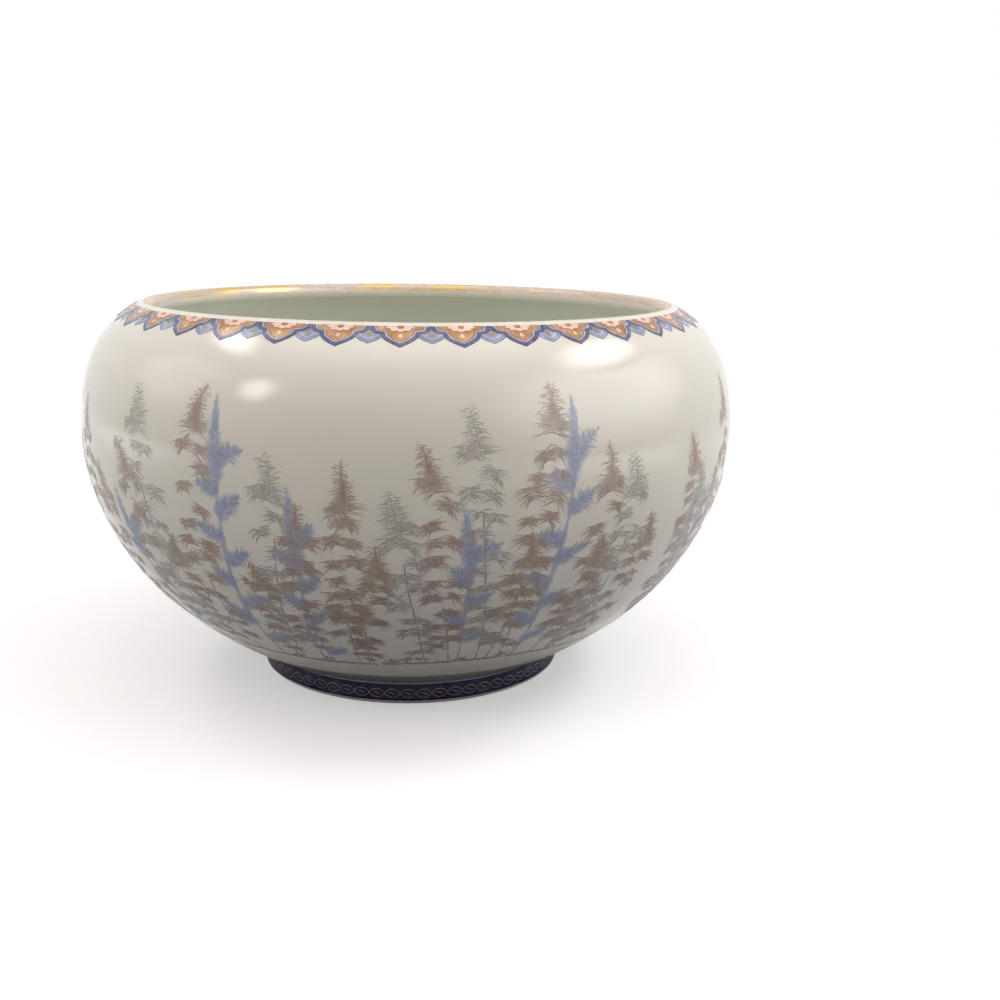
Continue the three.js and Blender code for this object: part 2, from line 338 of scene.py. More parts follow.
class BambooSettings(bpy.types.PropertyGroup):
    """Brushwork of the bamboo grove."""

    seed: count("Seed", "Which grove is painted", 7)
    ground: length("Ground", "Height of the ground line", 0.0272)
    ground_line: length("Ground line", "Width of the ground line", 0.0027)
    ground_dash: length("Ground dash", "Length of one dash of the ground line", 0.015)
    ground_sway: length("Ground sway", "How far the ground line rises and falls", 0.0011)
    plant_size: length("Plant size", "Size of a small plant at the ground", 0.0038)
    thinning: share("Thinning", "How pale the paint is at the top of the grove", 0.36)
    thinning_reach: length("Thinning reach", "Length of wall over which the paint thins upwards", 0.085)
    growth: length("Growth", "Length of wall over which a plume's leaves grow by their full size", 0.16)
    back_start: angle("Back start", "Turn at which the bamboo of the back starts", 75)
    back_end: angle("Back end", "Turn at which the bamboo of the back ends", 286)
    back_low: length("Back low", "Least height of the bamboo round the back", 0.072)
    back_high: length("Back high", "Greatest height of the bamboo round the back", 0.122)
    loose_tufts: count("Loose tufts", "Tufts that fill the gaps low in the grove", 50)
    loose_low: length("Loose low", "Least height of a loose tuft", 0.034)
    loose_high: length("Loose high", "Greatest height of a loose tuft", 0.068)
    ground_plants: count("Ground plants", "Small plants on the ground line", 34)
    plant_leaves: count("Plant leaves", "Leaves of a small plant", 11)
    tuft_strokes: count("Tuft strokes", "Strokes of a tuft", 36)
    second_strokes: count("Second strokes", "Strokes of a second tuft opposite", 28)
    loose_strokes: count("Loose strokes", "Strokes of a loose tuft", 22)
    spear_parts: count("Spear parts", "Fans of strokes up the pointed top of a plume", 6)
    blade_parts: count("Blade parts", "Soft patches along a blue blade", 6)
    blade_strokes: count("Blade strokes", "Fine strokes in each part of a blue blade", 10)
    stroke_length: length("Leaf length", "Length of a leaf stroke", 0.0066)
    stroke_width: length("Leaf width", "Width of a leaf stroke", 0.00042)
    stroke_film: length("Film", "Thickness of the painted line", 0.00003)
    stroke_seat: length("Seat", "How far a painted line clears the glaze below it", 0.00001)
    branch_reach: length("Branch reach", "How far a tuft hangs out from its stalk", 0.0046)
    tuft_width: length("Tuft width", "Width of the soft wash behind a tuft", 0.0094)
    tuft_spacing: length("Tuft spacing", "Distance between tufts down a plume", 0.0066)
    spear_length: length("Spear length", "Length of the pointed top of a plume", 0.0150)
    blade_length: length("Blade length", "Length of a blue blade", 0.0142)
    blade_width: length("Blade width", "Width of a blue blade", 0.0076)
    culm_width: length("Culm width", "Width of a stalk", 0.00065)
    culm_joint: length("Culm joint", "Length of a stalk between two joints", 0.0085)
    red: colour("Dusty red", "Red leaf strokes", (0.15, 0.028, 0.022))
    red_wash: colour("Red wash", "Soft wash behind red tufts", (0.36, 0.125, 0.095))
    gold: colour("Gold brown", "Gold-brown leaf strokes", (0.155, 0.060, 0.015))
    gold_wash: colour("Gold wash", "Soft wash behind gold-brown tufts", (0.38, 0.175, 0.045))
    ink: colour("Ink grey", "Grey leaf strokes", (0.19, 0.165, 0.15))
    ink_wash: colour("Ink wash", "Soft wash behind grey tufts", (0.42, 0.40, 0.36))
    blue: colour("Cobalt", "Blue leaf strokes", (0.20, 0.262, 0.45))
    blue_wash: colour("Cobalt wash", "Soft blue blades under the glaze", (0.22, 0.30, 0.53))
    stalk: colour("Stalk", "Slate of the stalks", (0.085, 0.09, 0.095))
    iron: colour("Iron red", "Small plants at the ground", (0.20, 0.04, 0.03))
    earth: colour("Earth", "Ground line", (0.085, 0.038, 0.022))


class StageSettings(bpy.types.PropertyGroup):
    """Floor, lamps and camera."""

    floor_size: length("Floor size", "Side of the square floor", 6)
    floor: colour("Floor", "Pale floor", (0.93, 0.93, 0.93))
    floor_glow: share("Floor glow", "How far the floor near the bowl is lifted towards white", 0.3)
    floor_bounce: colour("Floor bounce", "How strongly the floor lights the object", (0.07, 0.075, 0.085))
    foot_shade: length("Foot shade", "How far out the glaze mirrors the floor as dark", 0.062)
    shadow_reach: length("Shadow reach", "How far from the bowl the floor starts to run out to white", 0.22)
    sky: colour("Sky", "Soft light of the room all round", (0.42, 0.37, 0.36))
    window: level("Windows", "Brightness of the soft windows that the glaze mirrors", 8)
    room: level("Room", "Brightness of the pale room that the glaze mirrors at the sides", 4.6)
    overhead: level("Overhead lamp", "Brightness of the soft box overhead", 0.41)
    middle_lamps: level("Middle lamps", "Brightness of the soft boxes at either side", 1.6)
    left_share: share("Left share", "Brightness of the left middle lamp against the right one", 0.45)
    low_lamps: level("Low lamps", "Brightness of the soft boxes low at either side", 1.3)
    camera_x: length("Camera right", "Camera to the right of the bowl's axis", 0.03517)
    camera_y: length("Camera back", "Camera in front of the bowl's axis", -0.48078)
    camera_z: length("Camera height", "Camera above the floor", 0.17623)
    camera_pitch: angle("Camera pitch", "How far the camera looks down", 13.213)
    camera_roll: angle("Camera roll", "How far the camera leans to the left", 0.865)
    aim_height: length("Aim height", "Height at which the lamps and windows point", 0.1)
    window_distance: length("Window distance", "From the aim to the windows", 1.3)
    lamp_distance: length("Lamp distance", "From the aim to the soft boxes", 1.6)
    ceiling: length("Ceiling", "Height of the ceiling and of the overhead lamp", 1.5)
    ceiling_width: length("Ceiling width", "Width of the pale ceiling in the glaze", 3.0)
    ceiling_depth: length("Ceiling depth", "Depth of the pale ceiling in the glaze", 2.4)
    ceiling_share: share("Ceiling share", "Brightness of the ceiling against the room's sides", 0.4)
    overhead_size: length("Overhead size", "Side of the overhead lamp", 1.5)
    overhead_back: length("Overhead back", "How far behind the axis the overhead lamp hangs", 0.1)
    patch_rise: length("Patch rise", "Height of the room's floor patches off the floor", 0.001)
    camera_lens: FloatProperty(name="Lens", description="Focal length", default=44.61, unit="CAMERA")


def settings(group):
    """The settings of one group, such as form or glaze."""
    return getattr(bpy.context.scene, "fish_bowl_" + group)


# Outside form


def lip_point(form, turn, distance):
    """A point round the lip, at an angle out from straight up, and a distance off its glaze."""
    half = form.lip_thickness / 2
    reach = half + distance
    return (form.lip_radius + reach * math.sin(turn), form.height - half + reach * math.cos(turn))


def lower_corners(form):
    """Control corners of the wall from the heel up to the widest girth."""
    reach = (form.belly_radius - form.foot_radius) * form.foot_reach_share
    drop = (form.belly_height - form.foot_height) * form.belly_drop_share
    return (
        (form.foot_radius, form.foot_height),
        (
            form.foot_radius + reach * math.cos(form.foot_flare),
            form.foot_height + reach * math.sin(form.foot_flare),
        ),
        (form.belly_radius, form.belly_height - drop),
        (form.belly_radius, form.belly_height),
    )


def upper_corners(form):
    """Control corners of the shoulder from the widest girth in to the lip."""
    rise = (form.height - form.belly_height) * form.belly_rise_share
    reach = (form.belly_radius - form.lip_radius) * form.lip_reach_share
    start = lip_point(form, form.lip_slope, 0)
    return (
        (form.belly_radius, form.belly_height),
        (form.belly_radius, form.belly_height + rise),
        (start[0] + reach * math.cos(form.lip_slope), start[1] - reach * math.sin(form.lip_slope)),
        start,
    )


def curve_points(corners, shares):
    """Points along a cubic curve at shares of its way."""
    a, b, c, d = (np.array(corner) for corner in corners)
    t = shares[:, None]
    u = 1 - t
    return u**3 * a + 3 * u * u * t * b + 3 * u * t * t * c + t**3 * d


def curve_normals(corners, shares):
    """Directions straight out of a wall that rises along a cubic curve."""
    a, b, c, d = (np.array(corner) for corner in corners)
    t = shares[:, None]
    u = 1 - t
    along = u * u * (b - a) + 2 * u * t * (c - b) + t * t * (d - c)
    along /= np.linalg.norm(along, axis=1)[:, None]
    return np.column_stack([along[:, 1], -along[:, 0]])


def inside_points(corners, shares, first_thickness, last_thickness):
    """The inside of a wall whose thickness changes evenly along its outside curve."""
    thickness = first_thickness + (last_thickness - first_thickness) * shares[:, None]
    return curve_points(corners, shares) - thickness * curve_normals(corners, shares)


def lip_arc(form, start, end, rows, distance):
    """Points round the lip between two angles out from its crest."""
    return np.array([lip_point(form, turn, distance) for turn in np.linspace(start, end, rows + 1)])


def run_along(points):
    """Distance along a line of points, from its first point."""
    steps = np.hypot(*np.diff(points, axis=0).T)
    return np.concatenate([[0], np.cumsum(steps)])


def evenly(points, rows):
    """The same line of points again in rows of even length."""
    run = run_along(points)
    places = np.linspace(0, run[-1], rows + 1)
    return np.column_stack([np.interp(places, run, column) for column in points.T])


class Track:
    """The outside of the bowl as a run along the glaze, from the foot over the shoulder to the crest."""

    def __init__(self, form):
        foot = np.array([(form.foot_radius, 0.0)])
        lower = curve_points(lower_corners(form), FINE)
        upper = curve_points(upper_corners(form), FINE)
        lip = lip_arc(form, form.lip_slope, 0, form.edge_rows, 0)
        points = np.vstack([foot, lower, upper[1:], lip[1:]])
        self.run = run_along(points)
        self.radius, self.height = points.T
        along = np.gradient(points, self.run, axis=0)
        along /= np.linalg.norm(along, axis=1)[:, None]
        self.out = along[:, 1]
        self.up = -along[:, 0]
        self.heel = self.run[1]
        self.girth = self.run[len(lower)]

    def place(self, turn, run, lift):
        """Points at a turn from the front, a run along the glaze and a lift off it."""
        radius = np.interp(run, self.run, self.radius) + lift * np.interp(run, self.run, self.out)
        height = np.interp(run, self.run, self.height) + lift * np.interp(run, self.run, self.up)
        return np.stack([radius * np.sin(turn), -radius * np.cos(turn), height], axis=-1)

    def radius_at(self, run):
        """Radius of the glaze at a run."""
        return np.interp(run, self.run, self.radius)

    def at_height(self, height):
        """Run at which the glaze reaches a height."""
        return np.interp(height, self.height, self.run)

    def at_radius(self, radius):
        """Run at which the shoulder has drawn in to a radius."""
        shoulder = self.run >= self.girth
        return np.interp(-radius, -self.radius[shoulder], self.run[shoulder])


# Mesh making


def turned(profile, segments, closed):
    """Turns a profile of radius and height about the upright axis."""
    bm = bmesh.new()
    corners = [bm.verts.new((0, -radius, height)) for radius, height in profile]
    pairs = list(zip(corners, corners[1:]))
    if closed:
        pairs.append((corners[-1], corners[0]))
    sides = [bm.edges.new(pair) for pair in pairs]
    round_axis = {"axis": (0, 0, 1), "angle": 2 * math.pi, "steps": segments}
    bmesh.ops.spin(bm, geom=corners + sides, use_merge=True, **round_axis)
    bmesh.ops.remove_doubles(bm, verts=bm.verts, dist=WELD)
    bmesh.ops.recalc_face_normals(bm, faces=bm.faces)
    return bm


def add_piece(name, bm, materials, stands_for=()):
    """Finishes a mesh as a piece of the bowl."""
    mesh = bpy.data.meshes.new(name)
    bm.to_mesh(mesh)
    bm.free()
    for material in materials:
        mesh.materials.append(material)
    mesh.shade_smooth()
    mesh.set_sharp_from_angle(angle=SHARP)
    piece = bpy.data.objects.new(name, mesh)
    bpy.context.scene.collection.objects.link(piece)
    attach(piece, "root")
    if stands_for:
        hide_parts(*stands_for)
    return piece


def repeated(bm, times):
    """The whole mesh so many times over, with the corners of every copy in the same order."""
    many = bm.copy()
    bm.free()
    verts, edges, faces = len(many.verts), len(many.edges), len(many.faces)
    made = 1
    while made < times:
        more = min(made, times - made)
        parts = many.verts[: more * verts] + many.edges[: more * edges] + many.faces[: more * faces]
        bmesh.ops.duplicate(many, geom=parts)
        made += more
    return many


def move_verts(bm, points):
    """Gives the vertices of a mesh new places."""
    for vert, point in zip(bm.verts, points):
        vert.co = point


def write_colours(mesh, name, colours):
    """Writes one colour with its strength on each vertex."""
    layer = mesh.color_attributes.new(name=name, type="FLOAT_COLOR", domain="POINT")
    layer.data.foreach_set("color", np.asarray(colours, np.float32).ravel())


# Material making


def group_of(name, inputs, outputs):
    """A node group with sockets of the named kinds, and its inner input and output nodes."""
    group = bpy.data.node_groups.new(name, "ShaderNodeTree")
    for way, sockets in (("INPUT", inputs), ("OUTPUT", outputs)):
        for socket, kind in sockets.items():
            group.interface.new_socket(name=socket, in_out=way, socket_type="NodeSocket" + kind)
    return group, group.nodes.new("NodeGroupInput"), group.nodes.new("NodeGroupOutput")


def feed(tree, node, values):
    """Feeds inputs of a node, each from a socket or with a colour, a vector or a number."""
    for key, value in values.items():
        socket = node.inputs[key]
        if isinstance(value, bpy.types.NodeSocket):
            tree.links.new(value, socket)
        elif socket.type == "RGBA":
            socket.default_value = (*value, 1)
        else:
            socket.default_value = value


def add_node(tree, kind, values):
    """A new node, fed the same way."""
    node = tree.nodes.new(kind)
    feed(tree, node, values)
    return node


def texture_noise(tree, vector, scale, detail=2):
    """Soft noise over a vector."""
    values = {"Vector": vector, "Scale": scale, "Detail": detail}
    return add_node(tree, "ShaderNodeTexNoise", values).outputs["Fac"]


def ramp(tree, value, low, high, to_low=0, to_high=1):
    """Maps a value evenly from one range to another and holds it at the ends."""
    ends = {"From Min": low, "From Max": high, "To Min": to_low, "To Max": to_high}
    return add_node(tree, "ShaderNodeMapRange", {"Value": value, **ends}).outputs["Result"]


def maths(tree, operation, first, second):
    """One sum on two values, each a socket or a number."""
    node = add_node(tree, "ShaderNodeMath", {0: first, 1: second})
    node.operation = operation
    return node.outputs[0]


def blend(tree, amount, first, second):
    """Mixes two colours, each a socket or a colour, by an amount."""
    node = tree.nodes.new("ShaderNodeMix")
    node.data_type = "RGBA"
    keys = {socket.identifier: i for i, socket in enumerate(node.inputs)}
    feed(tree, node, {keys["Factor_Float"]: amount, keys["A_Color"]: first, keys["B_Color"]: second})
    return {socket.identifier: socket for socket in node.outputs}["Result_Color"]


def stretched(tree, vector, stretch):
    """Stretches a vector along its axes."""
    values = {"Vector": vector, "Scale": stretch}
    return add_node(tree, "ShaderNodeMapping", values).outputs["Vector"]


def glaze_tone_group():
    """Slow changes of tone where the glaze lies thicker, and a few dark pinholes."""
    group, start, end = group_of(
        "Glaze Tone",
        {"Vector": "Vector", "Thin": "Color", "Thick": "Color", "Speck": "Color"},
        {"Color": "Color", "Height": "Float"},
    )
    vector = start.outputs["Vector"]
    slow = ramp(group, texture_noise(group, vector, scale=16, detail=3), low=0.35, high=0.7)
    fine = texture_noise(group, vector, scale=240)
    grain = ramp(group, fine, low=0.4, high=0.7, to_low=-0.12, to_high=0.12)
    thick = maths(group, "ADD", slow, grain)
    tone = blend(group, thick, start.outputs["Thin"], start.outputs["Thick"])
    cells = add_node(group, "ShaderNodeTexVoronoi", {"Vector": vector, "Scale": 48})
    near = ramp(group, cells.outputs["Distance"], low=0.012, high=0.022, to_low=1, to_high=0)
    parted = add_node(group, "ShaderNodeSeparateColor", {"Color": cells.outputs["Color"]})
    few = maths(group, "GREATER_THAN", parted.outputs["Red"], 0.93)
    pinhole = maths(group, "MULTIPLY", near, few)
    speckled = blend(group, pinhole, tone, start.outputs["Speck"])
    wave = texture_noise(group, vector, scale=28, detail=1)
    feed(group, end, {"Color": speckled, "Height": maths(group, "SUBTRACT", wave, pinhole)})
    return group


def brush_group():
    """Painted colour that pools and thins as a loaded brush leaves it."""
    group, start, end = group_of(
        "Brushed Enamel",
        {"Vector": "Vector", "Color": "Color", "Scale": "Float", "Depth": "Float"},
        {"Color": "Color", "Roughness": "Float", "Height": "Float"},
    )
    pool = texture_noise(group, start.outputs["Vector"], start.outputs["Scale"], detail=3)
    thin = ramp(group, pool, low=0.3, high=0.7, to_low=-1, to_high=1)
    change = maths(group, "MULTIPLY", thin, start.outputs["Depth"])
    bright = maths(group, "ADD", change, 1)
    full = maths(group, "SUBTRACT", 1, maths(group, "MULTIPLY", change, 0.5))
    values = {"Color": start.outputs["Color"], "Value": bright, "Saturation": full}
    tint = add_node(group, "ShaderNodeHueSaturation", values)
    gloss = ramp(group, pool, low=0.3, high=0.7, to_low=0.16, to_high=0.3)
    feed(group, end, {"Color": tint.outputs["Color"], "Roughness": gloss, "Height": pool})
    return group


def new_material(name):
    """A material with its shader, and the object coordinates of its pattern."""
    material = bpy.data.materials.new(name)
    material.use_nodes = True
    tree = material.node_tree
    places = tree.nodes.new("ShaderNodeTexCoord").outputs["Object"]
    return material, tree, tree.nodes["Principled BSDF"], places


def use_group(tree, name, maker, values):
    """Places and feeds a shared node group, made on first use."""
    node = tree.nodes.new("ShaderNodeGroup")
    node.node_tree = bpy.data.node_groups.get(name) or maker()
    feed(tree, node, values)
    return node


def attribute(tree, name):
    """A colour painted on the mesh."""
    node = tree.nodes.new("ShaderNodeAttribute")
    node.attribute_name = name
    return node


def reach_from_middle(tree, places):
    """How far each place lies from the object's origin."""
    node = add_node(tree, "ShaderNodeVectorMath", {0: places})
    node.operation = "LENGTH"
    return node.outputs["Value"]


def relief(tree, height, strength, depth):
    """A normal that follows a height."""
    values = {"Height": height, "Strength": strength, "Distance": depth}
    return add_node(tree, "ShaderNodeBump", values).outputs["Normal"]


def glaze_material(name, thin, thick, painted):
    """Glossy porcelain glaze, with the soft washes that lie under it where it is painted: cobalt and the
    other inks, and the worn gilding with painted shade above the foot.
    """
    look = settings("glaze")
    material, tree, shader, places = new_material(name)
    values = {"Vector": places, "Thin": thin, "Thick": thick, "Speck": look.speck}
    tone = use_group(tree, "Glaze Tone", glaze_tone_group, values)
    surface = tone.outputs["Color"]
    if painted:
        # The wash colour carries the inks and, above the foot, worn gilding with painted shade.
        wash = attribute(tree, "wash")
        streaks = texture_noise(tree, stretched(tree, places, (1, 1, 0.6)), scale=620)
        cloud = texture_noise(tree, places, scale=260)
        ragged = maths(tree, "MULTIPLY", maths(tree, "SUBTRACT", streaks, 0.5), 0.7)
        pooled = maths(tree, "MULTIPLY", maths(tree, "SUBTRACT", cloud, 0.5), 0.5)
        edge = maths(tree, "ADD", wash.outputs["Alpha"], maths(tree, "ADD", ragged, pooled))
        cover = maths(tree, "MULTIPLY", ramp(tree, edge, low=0.12, high=0.62), wash.outputs["Alpha"])
        surface = blend(tree, cover, surface, wash.outputs["Color"])
    smear = texture_noise(tree, places, scale=60, detail=3)
    gloss = ramp(tree, smear, low=0.3, high=0.75, to_low=0.06, to_high=0.13)
    waves = relief(tree, tone.outputs["Height"], strength=0.18, depth=look.wave)
    feed(tree, shader, {"Base Color": surface, "Roughness": gloss, "Normal": waves})
    return material


def brushed(tree, shader, places, tint, depth, scale):
    """Gives a shader the colour and gloss of brushed enamel, and returns the enamel's height."""
    values = {"Vector": places, "Color": tint, "Depth": depth, "Scale": scale}
    brush = use_group(tree, "Brushed Enamel", brush_group, values)
    feed(tree, shader, {"Base Color": brush.outputs["Color"], "Roughness": brush.outputs["Roughness"]})
    return brush.outputs["Height"]


def enamel_material(name, tint, depth=0.25, scale=300, metal=0, gloss=0.5):
    """Fired enamel or gold of one colour."""
    material, tree, shader, places = new_material(name)
    height = brushed(tree, shader, places, tint, depth, scale)
    pools = relief(tree, height, strength=0.25, depth=settings("glaze").pooling)
    feed(tree, shader, {"Metallic": metal, "Specular IOR Level": gloss, "Normal": pools})
    return material


def ink_material(name):
    """Thin painted lines that take their own colour from each stroke."""
    material, tree, shader, places = new_material(name)
    brushed(tree, shader, places, attribute(tree, "ink").outputs["Color"], depth=0.12, scale=500)
    return material


def lip_gilding_material():
    """Fired gold that is rubbed thin, with its rosy ground showing."""
    look = settings("gilt")
    material, tree, shader, places = new_material("worn_gilding")
    patches = texture_noise(tree, stretched(tree, places, (1, 1, 2)), scale=40, detail=3)
    scratches = texture_noise(tree, stretched(tree, places, (1, 1, 4)), scale=180)
    kept = maths(tree, "ADD", patches, maths(tree, "MULTIPLY", scratches, 0.2))
    gold = blend(tree, ramp(tree, kept, low=0.57, high=0.73), look.worn, look.gold)
    metal = ramp(tree, kept, low=0.57, high=0.75, to_low=0.1, to_high=0.7)
    gloss = ramp(tree, scratches, low=0.3, high=0.7, to_low=0.2, to_high=0.38)
    worn = relief(tree, scratches, strength=0.05, depth=look.scratch)
    feed(tree, shader, {"Base Color": gold, "Metallic": metal, "Roughness": gloss, "Normal": worn})
    return material


# Potted and glazed pieces


def lower_profile(form):
    """The lower wall: from the underside's middle up the outside to the girth, and down the inside."""
    corners = lower_corners(form)
    outside = evenly(curve_points(corners, FINE), form.rows)
    shares = form.well_start_share + (1 - form.well_start_share) * FINE
    belly = inside_points(corners, shares, form.heel_thickness, form.seam_thickness)[::-1]
    level = form.foot_height + form.floor_thickness
    out, up = curve_normals(corners, shares[:1])[0]
    reach = (belly[-1][1] - level) / out
    corner = np.array([belly[-1][0] + up * reach, level])
    edge = corner - np.array([reach, 0])
    t = FINE[:, None]
    well = (1 - t) ** 2 * belly[-1] + 2 * (1 - t) * t * corner + t * t * edge
    inside = evenly(np.vstack([belly, well[1:]]), form.inner_rows)
    return np.vstack([[(0, form.foot_height)], outside, inside, [(0, level)]])


def upper_profile(form):
    """The shoulder: from the girth up the outside, over the lip and down the inside to the girth."""
    corners = upper_corners(form)
    outside = evenly(curve_points(corners, FINE), form.shoulder_rows)
    lip = lip_arc(form, form.lip_slope, form.lip_slope - math.pi, form.edge_rows, 0)[1:-1]
    inside = inside_points(corners, FINE, form.seam_thickness, form.lip_thickness)[::-1]
    return np.vstack([outside, lip, evenly(inside, form.inner_rows)])


def foot_edge(middle, bend, start, rows):
    """Points round a foot's edge that touches the ground, over a quarter turn."""
    turns = np.linspace(start, start + math.pi / 2, rows)
    return [(middle + bend * math.cos(turn), bend + bend * math.sin(turn)) for turn in turns]


def foot_profile(form, look):
    """Closed profile of the foot ring, with rows where the cobalt band starts and ends."""
    outer, inner = form.foot_radius, form.foot_radius - form.foot_width
    near, far = form.foot_inner_round, form.foot_outer_round
    inner_edge = foot_edge(inner + near, near, -math.pi, form.edge_rows)
    outer_edge = foot_edge(outer - far, far, -math.pi / 2, form.edge_rows)
    rise = [(outer, look.band_foot), (outer, look.band_top), (outer, form.foot_height)]
    return inner_edge + outer_edge + rise + [(inner - form.foot_batter, form.foot_height)]


def tint_inside(bm, form):
    """Gives the inside of a wall the second finish."""
    floor_level = form.foot_height + form.floor_thickness / 2
    for face in bm.faces:
        middle = face.calc_center_median()
        towards_axis = middle.x * face.normal.x + middle.y * face.normal.y < 0
        over_floor = math.hypot(middle.x, middle.y) < form.foot_radius
        inside = towards_axis or over_floor
        face.material_index = int(inside and floor_level < middle.z < form.height - form.inner_glaze_drop)


def build_wall():
    """The lower wall and the shoulder, which meet in a seam at the widest girth."""
    form, look = settings("form"), settings("glaze")
    materials = [
        glaze_material("ivory_glaze", look.body, look.shade, painted=True),
        # The inside's greenish glaze is darkened as painted shade.
        glaze_material("inner_glaze", look.inside, look.inside_thick_and_shaded, painted=False),
    ]
    walls = []
    for name, profile, closed, node in (
        ("lower_wall", lower_profile(form), False, "lower_bowl"),
        ("shoulder_wall", upper_profile(form), True, "shoulder"),
    ):
        bm = turned(profile, form.segments, closed)
        tint_inside(bm, form)
        walls.append(add_piece(name, bm, materials, (node,)))
    return walls, Track(form)


def build_foot():
    """The foot ring with its cobalt band and pale rim."""
    form, look = settings("form"), settings("glaze")
    bm = turned(foot_profile(form, look), form.segments // 2, closed=True)
    pale, band = 0, 1
    for face in bm.faces:
        middle = face.calc_center_median()
        outer = math.hypot(middle.x, middle.y) > form.foot_radius - form.foot_outer_round / 2
        face.material_index = band if outer and look.band_foot < middle.z < look.band_top else pale
    materials = [
        enamel_material("pale_foot", look.foot_edge, depth=0.15, scale=90),
        enamel_material("cobalt_foot", look.cobalt, depth=0.4, scale=160, gloss=0.22),
    ]
    return add_piece("glazed_foot", bm, materials, ("foot_ring",))


def build_lip_gilding():
    """The gilt band over the crest and the inner side of the lip."""
    form, look = settings("form"), settings("gilt")
    films = (look.film, -look.film)
    over, under = [lip_arc(form, look.lip_outer, -look.lip_inner, form.edge_rows, film) for film in films]
    bm = turned(np.vstack([over, under[::-1]]), form.segments // 2, closed=True)
    return add_piece("gilt_lip", bm, [lip_gilding_material()], ("lip_gilding",))


# Brushwork on the glaze


class Brush:
    """Strokes and soft washes, gathered before they are laid on the glaze."""

    def __init__(self, track, seed):
        self.track = track
        self.chance = random.Random(seed)
        self.strokes = {}
        self.washes = {}

    def vary(self, name):
        """A share by chance, between the least and the most of its kind."""
        return self.chance.uniform(*LOOSE_SHARES[name])

    def tilt(self, name):
        """An angle by chance, between the least and the most of its kind."""
        return math.radians(self.chance.uniform(*LOOSE_DEGREES[name]))

    def happens(self, name):
        """Whether a thing of chance happens this time."""
        return self.chance.random() < CHANCES[name]

    def stroke(self, layer, turn, run, heading, size, width, bend, tint, fade):
        """One stroke: its root, its heading from straight up, its size, bend, colour and fading."""
        self.strokes.setdefault(layer, []).append((turn, run, heading, size, width, bend, fade, *tint))

    def wash(self, ink, turn, run, heading, long, wide, strength, tint):
        """One soft patch of an ink about its middle."""
        self.washes.setdefault(ink, []).append((turn, run, heading, long, wide, strength, *tint))

    def step(self, turn, run, heading, distance):
        """The place that lies a distance away over the glaze."""
        radius = self.track.radius_at(run)
        return turn + distance * math.sin(heading) / radius, run + distance * math.cos(heading)


def stroke_shape(rings):
    """One closed leaf-shaped stroke, pointed at both ends, along X with its crest up."""
    bm = bmesh.new()
    bmesh.ops.create_uvsphere(bm, u_segments=3, v_segments=rings, radius=1)
    bmesh.ops.rotate(bm, verts=bm.verts, matrix=Matrix.Rotation(math.pi / 2, 3, "Y"))
    return bm


def laid_strokes(track, rows, rings, film, seat, fullness):
    """Lays strokes on the glaze, each with its own place, bend, width and colour."""
    bm = stroke_shape(rings)
    unit = np.array([vert.co for vert in bm.verts])
    bm = repeated(bm, len(rows))
    table = np.array(rows)
    turn, run, heading, size, width, bend, fade = (column[:, None] for column in table[:, :7].T)
    tints = table[:, 7:10]
    along = ((unit[:, 0] + 1) / 2) ** 1.5
    ring = np.hypot(unit[:, 1], unit[:, 2])
    full = np.where(ring > 0, ring ** (fullness - 1), 0)
    across, lift = unit[:, 1] * full, unit[:, 2] * full
    low, high = lift.min(), lift.max()
    lift = seat + film * (lift - low) / (high - low)
    part = bend * along
    chord = size * along * np.sinc(part / (2 * math.pi))
    facing = heading + part
    right = chord * np.sin(heading + part / 2) + across * width / 2 * np.cos(facing)
    up = chord * np.cos(heading + part / 2) - across * width / 2 * np.sin(facing)
    points = track.place(turn + right / track.radius_at(run), run + up, lift[None, :])
    move_verts(bm, points.reshape(-1, 3))
    bmesh.ops.recalc_face_normals(bm, faces=bm.faces)
    pale = 1 - fade[:, :, None] * along[None, :, None] ** 2
    glaze = np.array(settings("glaze").body)
    tinted = tints[:, None, :] * pale + glaze * (1 - pale)
    alpha = np.ones((len(rows), len(unit), 1))
    return bm, np.concatenate([tinted, alpha], axis=2).reshape(-1, 4)


def add_strokes(name, brush, layer, rings=3, fullness=0.6, coats=1):
    """Makes one piece of all the strokes of a layer, over so many thin coats."""
    look = settings("bamboo")
    rows = brush.strokes[layer]
    seat = look.stroke_seat * coats
    bm, tints = laid_strokes(brush.track, rows, rings, look.stroke_film, seat, fullness)
    piece = add_piece(name, bm, [ink_material(name + "_ink")])
    write_colours(piece.data, "ink", tints)
    return piece


